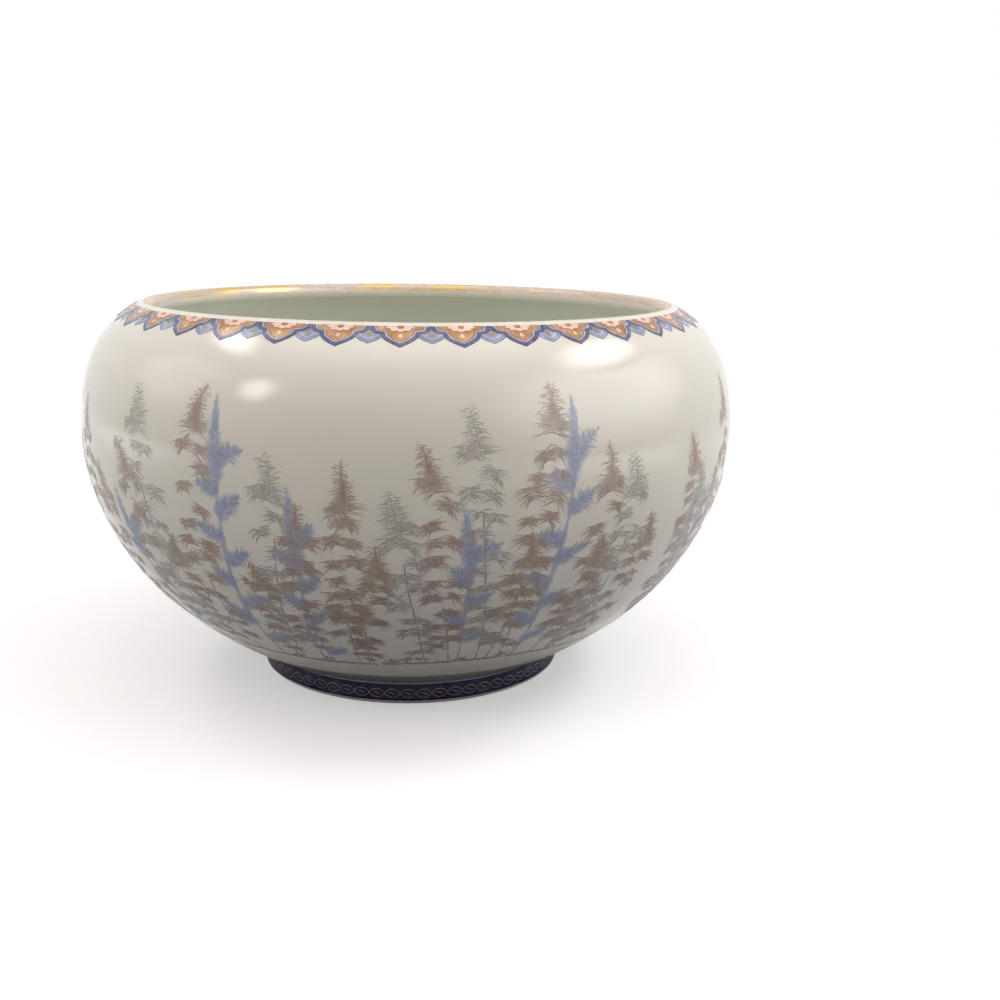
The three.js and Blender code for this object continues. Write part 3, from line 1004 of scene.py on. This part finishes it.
def paint_washes(piece, brush):
    """Lays the soft washes on the wall's own vertices, over a band of worn gilding and painted shade that
    darkens the wall towards the foot.
    """
    track = brush.track
    mesh = piece.data
    places = np.empty(len(mesh.vertices) * 3)
    mesh.vertices.foreach_get("co", places)
    places = places.reshape(-1, 3)
    turn = np.arctan2(places[:, 0], -places[:, 1])
    run = track.at_height(places[:, 2])
    radius = np.hypot(places[:, 0], places[:, 1])
    outer = np.abs(radius - track.radius_at(run)) < track.heel / 8
    form, glaze = settings("form"), settings("glaze")
    tints = np.zeros((len(places), 4))
    # Worn gilding and painted shade: the glaze is painted darker towards the foot and fades out upwards.
    tints[:, :3] = glaze.foot_wear_and_shade
    low = np.clip((glaze.foot_wear_and_shade_top - places[:, 2]) / (glaze.foot_wear_and_shade_top - form.foot_height), 0, 1)
    tints[:, 3] = np.where(outer, glaze.foot_wear_and_shade_share * low, 0)
    washes = [wash for ink in WASH_SHARES for wash in brush.washes[ink]]
    for middle, level, heading, long, wide, strength, *tint in washes:
        aside = (turn - middle + math.pi) % (2 * math.pi) - math.pi
        right = aside * radius
        up = run - level
        near = outer & (np.abs(right) < 2 * long) & (np.abs(up) < 2 * long)
        right, up = right[near], up[near]
        forward = (right * math.sin(heading) + up * math.cos(heading)) / long
        sideways = (right * math.cos(heading) - up * math.sin(heading)) / wide
        cover = strength * np.clip(2.2 - 1.7 * np.hypot(forward, sideways), 0, 1)
        old = tints[near]
        alpha = cover + old[:, 3] * (1 - cover)
        mixed = cover[:, None] * np.array(tint) + (old[:, 3] * (1 - cover))[:, None] * old[:, :3]
        safe = np.maximum(alpha, 1e-6)[:, None]
        old[:, :3] = np.where(alpha[:, None] > 0, mixed / safe, old[:, :3])
        old[:, 3] = alpha
        tints[near] = old
    write_colours(mesh, "wash", tints)


def thinness(brush, run):
    """How much the paint thins towards the top of the grove, from nothing to one."""
    look = settings("bamboo")
    rise = run - brush.track.at_height(look.ground)
    return float(np.clip(rise / look.thinning_reach, 0, 1)) * look.thinning


def shaded(brush, tint, run):
    """The tint of one stroke, as deep as the brush was loaded, and paler high on the wall."""
    deep = brush.vary("tint")
    thin = thinness(brush, run) + brush.vary("thinner")
    glaze = settings("glaze").body
    return [min(1, part * deep) * (1 - thin) + under * thin for part, under in zip(tint, glaze)]


def soft_patch(brush, place, heading, long, wide, ink):
    """A soft wash of one ink about a place."""
    look = settings("bamboo")
    strength = WASH_SHARES[ink] * (1 - thinness(brush, place[1])) * brush.vary("wash")
    brush.wash(ink, *place, heading, long, wide, strength, getattr(look, ink + "_wash"))


def fan(brush, place, lean, spine, size, opening, ink, strokes):
    """Fine strokes that leave both sides of a short spine, arch outwards and droop."""
    look = settings("bamboo")
    chance = brush.chance
    for i in range(strokes):
        side = 1 if i % 2 else -1
        down = (i + chance.random()) / strokes
        start = brush.step(*place, lean + math.pi, spine * down)
        start = brush.step(*start, lean + side * math.pi / 2, look.stroke_width * brush.vary("fan root"))
        turned = math.radians(chance.uniform(opening, opening + FAN_SPREAD) + FAN_SPREAD * down)
        droop = side * (math.pi - turned) * brush.vary("fan droop")
        long = size * brush.vary("fan length")
        width = look.stroke_width * brush.vary("fan width")
        tint = shaded(brush, getattr(look, ink), start[1])
        brush.stroke(ink, *start, lean + side * turned, long, width, droop, tint, 0.4)


def tuft(brush, turn, run, side, scale, ink, strokes, patch=None):
    """An umbrella of drooping strokes on a twig, over a soft wash that may have a second ink."""
    look = settings("bamboo")
    out = side * brush.tilt("twig")
    reach = look.branch_reach * scale * brush.vary("twig")
    middle = brush.step(turn, run, out, reach)
    wide = look.tuft_width * scale
    lean = side * brush.tilt("tuft")
    patch = patch or ink
    twig = shaded(brush, getattr(look, ink), run)
    brush.stroke("culm", turn, run, out, reach, look.stroke_width, side * 0.5, twig, 0)
    spine = wide * 0.36
    low = brush.step(*middle, lean + math.pi, spine / 2)
    soft_patch(brush, low, lean + math.pi / 2, spine, wide * 0.22, patch)
    fan(brush, middle, lean, spine, look.stroke_length * scale * 0.8, 38, ink, strokes)


def spear(brush, turn, run, heading, reach, ink):
    """The hooked top of a plume, from its base up: arching strokes shorten towards the tip."""
    look = settings("bamboo")
    parts = look.spear_parts
    hook = brush.tilt("hook")
    place = (turn, run)
    for i in range(parts):
        down = 1 - (i + 1) / parts
        lean = heading + hook * (1 - down) ** 2
        place = brush.step(*place, lean, reach / parts)
        size = look.stroke_length * (0.4 + 0.75 * down) * brush.vary("spear")
        fan(brush, place, lean, reach / parts, size, 24, ink, 12 + round(12 * down))
        patch = "gold" if ink == "red" and i % 3 == 0 else ink
        soft_patch(brush, place, lean, reach / parts, size * (0.2 + 0.35 * down), patch)
    tint = shaded(brush, getattr(look, ink), run)
    brush.stroke("culm", turn, run, heading, reach * 0.9, look.stroke_width, hook * 0.5, tint, 0)


def blade(brush, turn, run, heading, reach, wide, bend):
    """One soft blue blade that arches away from its foot, with a feathered edge."""
    look = settings("bamboo")
    chance = brush.chance
    parts = look.blade_parts
    place, direction = (turn, run), heading
    for i in range(parts):
        middle = brush.step(*place, direction, reach / parts / 2)
        along = (i + 0.5) / parts
        swell = min(1, 0.7 + 1.5 * along) * min(1, 1.7 * (1 - along)) * brush.vary("blade")
        soft_patch(brush, middle, direction, reach / parts * 0.8, wide / 2 * swell, "blue")
        for _ in range(look.blade_strokes):
            root = brush.step(*place, direction, reach / parts * chance.random())
            side = chance.choice((-1, 1))
            away = direction + side * brush.tilt("blade stroke")
            fine = wide * swell * brush.vary("blade stroke")
            width = look.stroke_width * brush.vary("blade stroke width")
            tint = shaded(brush, look.blue, (root[1] + brush.track.at_height(look.ground)) / 2)
            brush.stroke("blue", *root, away, fine, width, side * 0.5, tint, 0.25)
        place = brush.step(*place, direction, reach / parts)
        direction += bend / parts


def between(start, end, radius):
    """How far and in which direction one place lies from another over the glaze."""
    aside, rise = (end[0] - start[0]) * radius, end[1] - start[1]
    return math.hypot(aside, rise), math.atan2(aside, rise)


def culm(brush, start, end, ink):
    """A jointed stalk from the ground up into the leaves."""
    look = settings("bamboo")
    tall, heading = between(start, end, brush.track.radius_at((start[1] + end[1]) / 2))
    joints = max(2, round(tall / look.culm_joint))
    paint = look.blue if ink == "blue" else look.stalk
    for i in range(joints):
        turn, run = brush.step(*start, heading, tall * i / joints)
        tint = shaded(brush, paint, run)
        lean = heading + brush.tilt("joint")
        brush.stroke("culm", turn, run, lean, tall / joints * 0.94, look.culm_width, 0, tint, 0.1)


def plume(brush, tip, height, root, ink):
    """One bamboo: a spear at the tip, tufts on alternate sides below it, and a stalk down to the ground."""
    look = settings("bamboo")
    chance = brush.chance
    track = brush.track
    top, ground = float(track.at_height(height)), float(track.at_height(look.ground))
    tall = top - ground
    scale = min(1, 0.45 + tall / look.growth)

    def spine(down):
        sway = math.radians(0.5) * math.sin(7 * down / tall)
        return tip + (root - tip) * (down / tall) ** 0.8 + sway, top - down

    lean = math.atan2((spine(0)[0] - spine(tall * 0.2)[0]) * track.radius_at(top), tall * 0.2)
    side = chance.choice((-1, 1))
    if ink == "blue":
        blue_plume(brush, spine, tall, lean, side, scale)
        culm(brush, (root, ground), spine(tall * 0.6), ink)
        return
    reach = look.spear_length * scale
    spear(brush, *spine(reach), lean, reach, ink)
    down = reach * 0.85
    while down < tall * 0.88:
        size = scale * min(0.7 + 1.2 * down / tall, 1.05 - 0.2 * down / tall) * brush.vary("tuft")
        tone = ink
        if ink == "red" and down > tall * 0.4 and brush.happens("gold among red"):
            tone = "gold"
        if ink == "gold" and brush.happens("red among gold"):
            tone = "red"
        patch = "gold" if tone == "red" and brush.happens("gold behind red") else tone
        tuft(brush, *spine(down), side, size, tone, look.tuft_strokes, patch)
        if brush.happens("second tuft"):
            tuft(brush, *spine(down), -side, size * 0.85, tone, look.second_strokes, patch)
        down += look.tuft_spacing * scale * brush.vary("tuft spacing")
        side = -side
    culm(brush, (root, ground), spine(tall * (0.3 if ink == "ink" else 0.6)), ink)


def blue_plume(brush, spine, tall, lean, side, scale):
    """A blue bamboo: a broad stem with a long blade on top and pointed fins on alternate sides."""
    look = settings("bamboo")
    wide = look.blade_width * scale
    reach = look.blade_length * 1.8 * scale
    blade(brush, *spine(reach), lean, reach, wide * 0.9, 0)
    down = reach * 0.75
    while down < tall * 0.92:
        side = -side
        heading = side * brush.tilt("fin")
        size = look.blade_length * scale * brush.vary("fin")
        fin_width = wide * brush.vary("fin width")
        blade(brush, *spine(down), heading, size, fin_width, side * brush.chance.uniform(*FIN_BENDS))
        down += look.blade_length * brush.vary("fin spacing")
    stem = brush.track.radius_at(spine(tall / 2)[1])
    steps = 8
    for i in range(steps):
        upper, lower = spine(tall * i / steps), spine(tall * (i + 1) / steps)
        link, heading = between(lower, upper, stem)
        tint = shaded(brush, look.blue, lower[1])
        brush.stroke("culm", *lower, heading, link, look.culm_width, 0, tint, 0.1)
        if i < steps - 2:
            middle = brush.step(*lower, heading, link / 2)
            soft_patch(brush, middle, heading, link * 0.6, wide * 0.16, "blue")


def ground_plants(brush):
    """A broken ground line all round, with small iron-red plants on it."""
    look = settings("bamboo")
    chance = brush.chance
    run = float(brush.track.at_height(look.ground))
    turn = -math.pi
    while turn < math.pi:
        size = look.ground_dash * brush.vary("dash")
        rise = look.ground_sway * math.sin(5 * turn)
        line = look.ground_line * brush.vary("dash width")
        brush.stroke("earth", turn, run + rise, math.pi / 2, size, line, 0.02, look.earth, 0.2)
        turn += size * brush.vary("dash step") / brush.track.radius_at(run)
    for _ in range(look.ground_plants):
        turn = chance.uniform(-math.pi, math.pi)
        rise = look.ground_sway * math.sin(5 * turn)
        tall = look.plant_size * brush.vary("plant")
        brush.stroke("earth", turn, run + rise, 0, tall, look.culm_width, 0, look.iron, 0.1)
        for _ in range(look.plant_leaves):
            heading = brush.tilt("plant leaf")
            aside = look.plant_size * brush.vary("plant leaf root")
            start = brush.step(turn, run + rise + tall, math.pi / 2, aside)
            size = look.plant_size * brush.vary("plant leaf")
            brush.stroke("earth", *start, heading, size, look.plant_size * 0.3, 0, look.iron, 0.1)


def paint_grove(brush):
    """Bamboo all round: the plumes of the front, and more of their kind round the back."""
    chance = brush.chance
    look = settings("bamboo")
    for tip, height, root, ink in FRONT_PLUMES:
        plume(brush, math.radians(tip), height, math.radians(root), ink)
    inks = itertools.cycle(BACK_INKS)
    turn = look.back_start
    while turn < look.back_end:
        height = chance.uniform(look.back_low, look.back_high)
        root = turn + brush.tilt("back root")
        plume(brush, turn, height, root, next(inks))
        turn += brush.tilt("back spacing")
    for _ in range(look.loose_tufts):
        turn = chance.uniform(-math.pi, math.pi)
        run = float(brush.track.at_height(chance.uniform(look.loose_low, look.loose_high)))
        tone = chance.choice(("gold", "red", "ink", "gold"))
        side = chance.choice((-1, 1))
        tuft(brush, turn, run, side, brush.vary("loose tuft"), tone, look.loose_strokes)


def paint_scroll(brush):
    """Two gilt strands that cross round the foot band, with a curl in each link."""
    look = settings("gilt")
    form = settings("form")
    pitch = 2 * math.pi * form.foot_radius / look.scroll_units
    rise = look.scroll_rise
    bend = 4 * math.atan(2 * rise / pitch)
    size = pitch / 2 / math.sin(bend / 2) * bend
    for i in range(look.scroll_units):
        turn = 2 * math.pi * i / look.scroll_units
        for side in (-1, 1):
            heading = math.pi / 2 - side * bend / 2
            place = (turn, look.scroll_height)
            brush.stroke("scroll", *place, heading, size, look.scroll_line, side * bend, look.dull, 0)
            offset = side * look.curl_offset_share * pitch / form.foot_radius
            middle = turn + math.pi / look.scroll_units - offset
            place = (middle, look.scroll_height)
            heading = (1 - side) * math.pi / 2 + look.curl_heading
            long, wide = pitch * look.curl_share, look.scroll_line * look.curl_line_share
            brush.stroke("curl", *place, heading, long, wide, look.curl_bend, look.dull, 0)


# Border of lappets


def shares_curve(shares, names, points):
    """So many points along the curve that four named corners of an outline steer."""
    return curve_points([shares[name] for name in names], np.linspace(0, 1, points))


def both_sides(half):
    """A whole outline from its right half, which runs from the top down to the tip."""
    left = [(-x, y) for x, y in half[-2::-1]]
    return half + left


def bracket_outline(half_pitch, long, overrun):
    """A large lappet that hangs from zero, and runs past it at the top to be cut there."""
    knee = shares_curve(LAPPET_SHARES, ("top", "bulge", "bulge", "notch"), 7)
    lobe = shares_curve(LAPPET_SHARES, ("notch", "lobe", "flank", "tip"), 11)
    half = [(half_pitch, overrun)] + [(x * half_pitch, -y * long) for x, y in np.vstack([knee, lobe[1:]])]
    return both_sides(half)


def leaf_outline(half_pitch, long, overrun):
    """A small leaf that hangs in the gap between two lappets."""
    edge = shares_curve(LEAF_SHARES, ("top", "lobe", "flank", "tip"), 10)
    top = (LEAF_SHARES["top"][0] * half_pitch, overrun)
    half = [top] + [(x * half_pitch, -y * long) for x, y in edge]
    return both_sides(half)


def cloud_outline(wide, deep, lobes, steps):
    """A cloud with scalloped lobes about zero."""
    points = []
    for i in range(steps):
        turn = 2 * math.pi * i / steps
        swell = 0.84 + 0.16 * abs(math.sin(lobes * turn / 2))
        points.append((wide * swell * math.cos(turn), deep * swell * math.sin(turn)))
    return points


def drop_outline(middle, radius, steps):
    """A drop with its point up."""
    points = []
    for i in range(steps):
        turn = 2 * math.pi * i / steps
        point = 1 + 0.9 * max(0, math.sin(turn)) ** 3
        points.append((radius * math.cos(turn), middle + radius * point * math.sin(turn)))
    return points


def flat_shape(bm, outline, lift, bands, fill):
    """A flat painted shape with nested bands from its edge inwards, each a width and a finish."""
    corners = [bm.verts.new((x, y, lift)) for x, y in outline]
    face = bmesh.ops.contextual_create(bm, geom=corners)["faces"][0]
    if face.normal.z < 0:
        bmesh.ops.reverse_faces(bm, faces=[face])
    made = [face]
    for width, finish in bands:
        ring = bmesh.ops.inset_region(
            bm, faces=[face], thickness=width, depth=0, use_boundary=True, use_even_offset=True
        )["faces"]
        for side in ring:
            side.material_index = finish
        made += ring
    face.material_index = fill
    return made


def cut_and_thicken(bm, grid, thickness):
    """Cuts flat shapes off at the border line, divides them finely and gives them their thickness."""
    bmesh.ops.triangulate(bm, faces=[face for face in bm.faces if len(face.verts) > 4])
    everything = bm.verts[:] + bm.edges[:] + bm.faces[:]
    bmesh.ops.bisect_plane(bm, geom=everything, plane_co=(0, 0, 0), plane_no=(0, 1, 0), clear_outer=True)
    for axis in (0, 1):
        places = [vert.co[axis] for vert in bm.verts]
        cuts = math.ceil((max(places) - min(places)) / grid)
        for i in range(1, cuts):
            spot, across = Vector(), Vector()
            spot[axis] = min(places) + (max(places) - min(places)) * i / cuts
            across[axis] = 1
            everything = bm.verts[:] + bm.edges[:] + bm.faces[:]
            bmesh.ops.bisect_plane(bm, geom=everything, plane_co=spot, plane_no=across)
    down = bmesh.ops.extrude_face_region(bm, geom=bm.faces[:], use_keep_orig=True)["geom"]
    lowered = [part for part in down if isinstance(part, bmesh.types.BMVert)]
    bmesh.ops.translate(bm, verts=lowered, vec=(0, 0, -thickness))
    bmesh.ops.recalc_face_normals(bm, faces=bm.faces)


def hang_round(bm, track, look, line_run, first_turn):
    """Repeats one flat shape round the shoulder and wraps it onto the glaze, each drawn a little apart."""
    unit = np.array([vert.co for vert in bm.verts])
    bm = repeated(bm, look.lappets)
    radius = float(track.radius_at(line_run))
    points = []
    wave = look.wobble_length
    noise.seed_set(look.seed)
    for i in range(look.lappets):
        turn = first_turn + 2 * math.pi * i / look.lappets
        for x, y, lift in unit:
            stray = noise.noise_vector((x / wave, y / wave, 9.7 * i)) * look.wobble
            points.append((turn + (x + stray.x) / radius, line_run + y + min(0, stray.y) * (y < 0), lift))
    turn, run, lift = np.array(points).T
    move_verts(bm, track.place(turn, run, lift))
    bmesh.ops.recalc_face_normals(bm, faces=bm.faces)
    return bm


def border_sizes(form, look, track):
    """Run of the border line, half a pitch there, and the lengths of lappet and leaf along the glaze."""
    radius = lip_point(form, form.lip_slope, 0)[0] + look.glaze_line
    line_run = float(track.at_radius(radius))
    half_pitch = math.pi * radius / look.lappets
    lappet = line_run - float(track.at_radius(radius + look.lappet_length))
    leaf = line_run - float(track.at_radius(radius + look.leaf_length))
    return line_run, half_pitch, lappet, leaf


def hang_shapes(name, track, first_turn, shapes, thickness, materials, stands_for=()):
    """One piece of the border: flat shapes, each an outline with its bands, hung round the shoulder."""
    form, look = settings("form"), settings("border")
    bm = bmesh.new()
    for shape in shapes:
        flat_shape(bm, *shape)
    cut_and_thicken(bm, look.grid, thickness)
    line_run = border_sizes(form, look, track)[0]
    bm = hang_round(bm, track, look, line_run, first_turn)
    add_piece(name, bm, materials, stands_for)


def build_lappets(track):
    """The large bracket-shaped lappets: cobalt and lilac bands round gold, with a rose cloud at the top."""
    form, look = settings("form"), settings("border")
    _, half_pitch, long, _ = border_sizes(form, look, track)
    film = look.film
    line, cobalt, lilac, brown, gold, rose, iron = range(7)
    materials = [
        enamel_material("cobalt_line", look.line),
        enamel_material("cobalt_band", look.cobalt, depth=0.4),
        enamel_material("lilac_band", look.lilac),
        enamel_material("brown_line", look.brown),
        enamel_material("gold_enamel", look.gold, depth=0.3, scale=220, metal=0.3),
        enamel_material("rose_enamel", look.rose, depth=0.12),
        enamel_material("iron_red", look.iron),
    ]
    tones = (line, cobalt, line, lilac, brown)
    bands = [(long * part, tone) for part, tone in zip(LAPPET_BAND_SHARES, tones)]
    bracket = (bracket_outline(half_pitch, long, long * 0.5), film * 2, bands, gold)
    hang_shapes("lappets", track, look.turn, [bracket], film * 3, materials, stands_for=("lappet_border",))
    cloud = (cloud_outline(half_pitch * 0.52, long * 0.34, 10, 50), film * 3, [(long * 0.028, iron)], rose)
    drop = (drop_outline(-long * 0.52, long * 0.07, 14), film * 3, [], rose)
    hang_shapes("rose_clouds", track, look.turn, [cloud, drop], film * 2, materials)
    heart = (cloud_outline(long * 0.12, long * 0.17, 4, 20), film * 4, [(long * 0.02, iron)], gold)
    hang_shapes("cloud_hearts", track, look.turn, [heart], film * 2, materials)


def build_leaves(track):
    """The small pale-blue leaves in the gaps, each with a gilt flower of dots."""
    form, look = settings("form"), settings("border")
    _, half_pitch, _, long = border_sizes(form, look, track)
    film = look.film
    edge, leaf, pale, gilt = range(4)
    materials = [
        enamel_material("leaf_edge", look.cobalt),
        enamel_material("leaf_blue", look.leaf, depth=0.3),
        enamel_material("leaf_pale", look.leaf_pale),
        enamel_material("gilt_dots", look.dots, depth=0.2, metal=0.3),
    ]
    gap_turn = look.turn + math.pi / look.lappets
    tones = (edge, leaf, edge, pale)
    bands = [(long * part, tone) for part, tone in zip(LEAF_BAND_SHARES, tones)]
    outline = leaf_outline(half_pitch, long, long * 0.3)
    hang_shapes("leaf_lappets", track, gap_turn, [(outline, film, bands, leaf)], film * 2, materials)
    dots = []
    for i in range(6):
        turn = 2 * math.pi * i / 6
        reach = long * 0.085 * min(i, 1)
        right, up = reach * math.cos(turn), -long * 0.5 + reach * math.sin(turn)
        dot = [(right + x, up + y) for x, y in cloud_outline(long * 0.048, long * 0.048, 2, 6)]
        dots.append((dot, film * 2, [], gilt))
    hang_shapes("leaf_flowers", track, gap_turn, dots, film * 2, materials)


# Stage


def facing(spot, aim):
    """Placing of a flat thing at a spot, turned towards a point."""
    turned = (Vector(aim) - Vector(spot)).to_track_quat("-Z", "Y")
    return Matrix.Translation(spot) @ turned.to_matrix().to_4x4()


def area_lamp(name, spot, aim, wide, tall, radiance):
    """A soft box that faces a point, as bright per area as asked, and unseen in the glaze."""
    lamp = bpy.data.lights.new(name, "AREA")
    lamp.shape = "RECTANGLE"
    lamp.size = wide
    lamp.size_y = tall
    lamp.energy = radiance * wide * tall * 4
    stand = bpy.data.objects.new(name, lamp)
    stand.visible_glossy = False
    stand.matrix_world = facing(spot, aim)
    bpy.context.scene.collection.objects.link(stand)


def flat_sheet(name, side, material):
    """A flat square sheet of the stage."""
    bm = bmesh.new()
    bmesh.ops.create_grid(bm, x_segments=1, y_segments=1, size=side / 2)
    mesh = bpy.data.meshes.new(name)
    bm.to_mesh(mesh)
    bm.free()
    mesh.materials.append(material)
    sheet = bpy.data.objects.new(name, mesh)
    bpy.context.scene.collection.objects.link(sheet)
    return sheet


def window_box(name, spot, aim, wide, tall, radiance, only_mirrored=False):
    """A soft-edged bright window that the glaze mirrors and the camera doesn't see."""
    material, tree, shader, places = new_material(name)
    falloff = ramp(tree, reach_from_middle(tree, places), low=0.16, high=0.5, to_low=radiance, to_high=0)
    path = tree.nodes.new("ShaderNodeLightPath")
    glow = maths(tree, "MAXIMUM", falloff, path.outputs["Is Glossy Ray"])
    black, white = (0, 0, 0), (1, 1, 1)
    feed(tree, shader, {"Base Color": black, "Emission Color": white, "Emission Strength": glow})
    window = flat_sheet(name, 1, material)
    window.visible_camera = False
    window.visible_diffuse = not only_mirrored
    window.visible_shadow = not only_mirrored
    window.matrix_world = facing(spot, aim) @ Matrix.Diagonal((wide, tall, 1, 1))


def polar(turn, rise, distance, aim):
    """A place at a distance from the aim, at a turn from the front and a rise, both in degrees."""
    turn, rise = math.radians(turn), math.radians(rise)
    flat = distance * math.cos(rise)
    return (flat * math.sin(turn), -flat * math.cos(turn), distance * math.sin(rise) + aim[2])


def shown_or_lit(tree, seen, bounced):
    """A colour for what the camera, gloss and glass see, and another for soft light."""
    path = tree.nodes.new("ShaderNodeLightPath")
    both = maths(tree, "MAXIMUM", path.outputs["Is Camera Ray"], path.outputs["Is Glossy Ray"])
    direct = maths(tree, "MAXIMUM", both, path.outputs["Is Transmission Ray"])
    return blend(tree, direct, bounced, seen)


def floor_material(look):
    """Pale floor that keeps the shadow near the bowl and runs out to plain white further off."""
    material, tree, shader, places = new_material("pale_floor")
    feed(tree, shader, {"Roughness": 1, "Specular IOR Level": 0})
    reach = reach_from_middle(tree, places)
    far = ramp(tree, reach, look.shadow_reach, 2 * look.shadow_reach)
    near_colour = blend(tree, far, look.floor, (0, 0, 0))
    path = tree.nodes.new("ShaderNodeLightPath")
    under = ramp(tree, reach, look.foot_shade, 1.4 * look.foot_shade, to_low=1, to_high=0)
    dark = maths(tree, "MULTIPLY", under, path.outputs["Is Glossy Ray"])
    glow = ramp(tree, far, low=0, high=1, to_low=look.floor_glow)
    values = {
        "Base Color": shown_or_lit(tree, near_colour, look.floor_bounce),
        "Emission Color": shown_or_lit(tree, (1, 1, 1), (0, 0, 0)),
        "Emission Strength": maths(tree, "MULTIPLY", glow, maths(tree, "SUBTRACT", 1, dark)),
    }
    feed(tree, shader, values)
    return material


def place_windows(look):
    """The windows and the pale room, which the glaze mirrors."""
    aim = (0, 0, look.aim_height)
    for name, (turn, rise, wide, tall) in WINDOWS.items():
        window_box(name, polar(turn, rise, look.window_distance, aim), aim, wide, tall, look.window)
    for name, (turn, rise, wide, tall, part) in ROOM_SIDES.items():
        spot = polar(turn, rise, look.window_distance, aim)
        window_box(name, spot, aim, wide, tall, look.room * part, only_mirrored=True)
    for name, (right, back, wide, deep, part) in ROOM_FLOORS.items():
        spot, below = (right, back, look.patch_rise), (right, back, -1)
        window_box(name, spot, below, wide, deep, look.room * part, only_mirrored=True)
    top, brightness = (0, 0, look.ceiling), look.room * look.ceiling_share
    wide, deep = look.ceiling_width, look.ceiling_depth
    window_box("ceiling", top, aim, wide, deep, brightness, only_mirrored=True)


def place_lamps(look):
    """The soft boxes overhead, at either side and low down."""
    aim = (0, 0, look.aim_height)
    top = (0, look.overhead_back, look.ceiling)
    area_lamp("overhead", top, aim, look.overhead_size, look.overhead_size, look.overhead)
    brightness = {
        "right_middle": look.middle_lamps,
        "left_middle": look.middle_lamps * look.left_share,
        "left_low": look.low_lamps,
        "right_low": look.low_lamps,
    }
    for name, (turn, rise, wide, tall) in SOFT_BOXES.items():
        area_lamp(name, polar(turn, rise, look.lamp_distance, aim), aim, wide, tall, brightness[name])


def place_camera(look):
    """The camera, where the bowl is seen from a little above its lip."""
    camera = bpy.data.objects.new("camera", bpy.data.cameras.new("camera"))
    camera.data.lens = look.camera_lens
    tilt = Matrix.Rotation(math.pi / 2 - look.camera_pitch, 4, "X")
    roll = Matrix.Rotation(look.camera_roll, 4, "Z")
    camera.matrix_world = Matrix.Translation((look.camera_x, look.camera_y, look.camera_z)) @ tilt @ roll
    bpy.context.scene.collection.objects.link(camera)
    bpy.context.scene.camera = camera


def build_stage():
    """Pale floor, plain room light, soft boxes and the camera."""
    look = settings("stage")
    flat_sheet("floor", look.floor_size, floor_material(look))
    world = bpy.data.worlds.new("studio")
    bpy.context.scene.world = world
    world.use_nodes = True
    tree = world.node_tree
    feed(tree, tree.nodes["Background"], {"Color": shown_or_lit(tree, (1, 1, 1), look.sky)})
    place_windows(look)
    place_lamps(look)
    place_camera(look)
    bpy.context.scene.view_settings.view_transform = "Standard"


# Operators


class PotBowl(bpy.types.Operator):
    """Turns and glazes the wall and the foot, and paints the bamboo on the wall."""

    bl_idname = "fish_bowl.pot"
    bl_label = "Pot and paint the bowl"

    def execute(self, context):
        walls, track = build_wall()
        build_foot()
        brush = Brush(track, settings("bamboo").seed)
        paint_grove(brush)
        ground_plants(brush)
        for wall in walls:
            paint_washes(wall, brush)
        for layer in ("red", "gold", "ink", "blue"):
            add_strokes("bamboo_" + layer, brush, layer, coats=3)
        add_strokes("bamboo_stalks", brush, "culm", rings=12, fullness=0.4, coats=2)
        add_strokes("ground_line", brush, "earth", rings=12)
        return {"FINISHED"}


class GildBowl(bpy.types.Operator):
    """Gilds the lip and draws the scroll on the foot band."""

    bl_idname = "fish_bowl.gild"
    bl_label = "Gild the bowl"

    def execute(self, context):
        build_lip_gilding()
        brush = Brush(Track(settings("form")), settings("bamboo").seed)
        paint_scroll(brush)
        add_strokes("foot_scroll", brush, "scroll", rings=14, fullness=0.3)
        add_strokes("scroll_curls", brush, "curl", rings=8, fullness=0.5)
        return {"FINISHED"}


class HangBorder(bpy.types.Operator):
    """Hangs the border of lappets and leaves below the lip."""

    bl_idname = "fish_bowl.border"
    bl_label = "Enamel the border"

    def execute(self, context):
        track = Track(settings("form"))
        build_lappets(track)
        build_leaves(track)
        return {"FINISHED"}


class SetStage(bpy.types.Operator):
    """Sets the floor, the lamps and the camera."""

    bl_idname = "fish_bowl.stage"
    bl_label = "Set the stage"

    def execute(self, context):
        build_stage()
        return {"FINISHED"}


class FishBowlPanel(bpy.types.Panel):
    """Sizes and colours of the bowl, and a button for each step."""

    bl_idname = "VIEW3D_PT_fish_bowl"
    bl_label = "Fish Bowl"
    bl_space_type = "VIEW_3D"
    bl_region_type = "UI"
    bl_category = "Fish Bowl"

    def draw(self, context):
        for step in STEPS:
            self.layout.operator(step.bl_idname)
        for group, kind in GROUPS.items():
            box = self.layout.box()
            box.label(text=kind.__doc__)
            for name in kind.__annotations__:
                box.prop(settings(group), name)


GROUPS = {
    "form": FormSettings,
    "glaze": GlazeSettings,
    "gilt": GiltSettings,
    "border": BorderSettings,
    "bamboo": BambooSettings,
    "stage": StageSettings,
}
STEPS = (SetStage, PotBowl, GildBowl, HangBorder)
CLASSES = (*GROUPS.values(), *STEPS, FishBowlPanel)


def register():
    """Registers the classes, and hangs the settings on the scene."""
    for kind in CLASSES:
        bpy.utils.register_class(kind)
    for group, kind in GROUPS.items():
        setattr(bpy.types.Scene, "fish_bowl_" + group, PointerProperty(type=kind))


def unregister():
    """Takes the settings and the classes away again."""
    for group in GROUPS:
        delattr(bpy.types.Scene, "fish_bowl_" + group)
    for kind in reversed(CLASSES):
        bpy.utils.unregister_class(kind)


def main():
    """Registers the add-on and runs its steps in order."""
    register()
    bpy.ops.fish_bowl.stage()
    bpy.ops.fish_bowl.pot()
    bpy.ops.fish_bowl.gild()
    bpy.ops.fish_bowl.border()


if __name__ == "__main__":
    main()
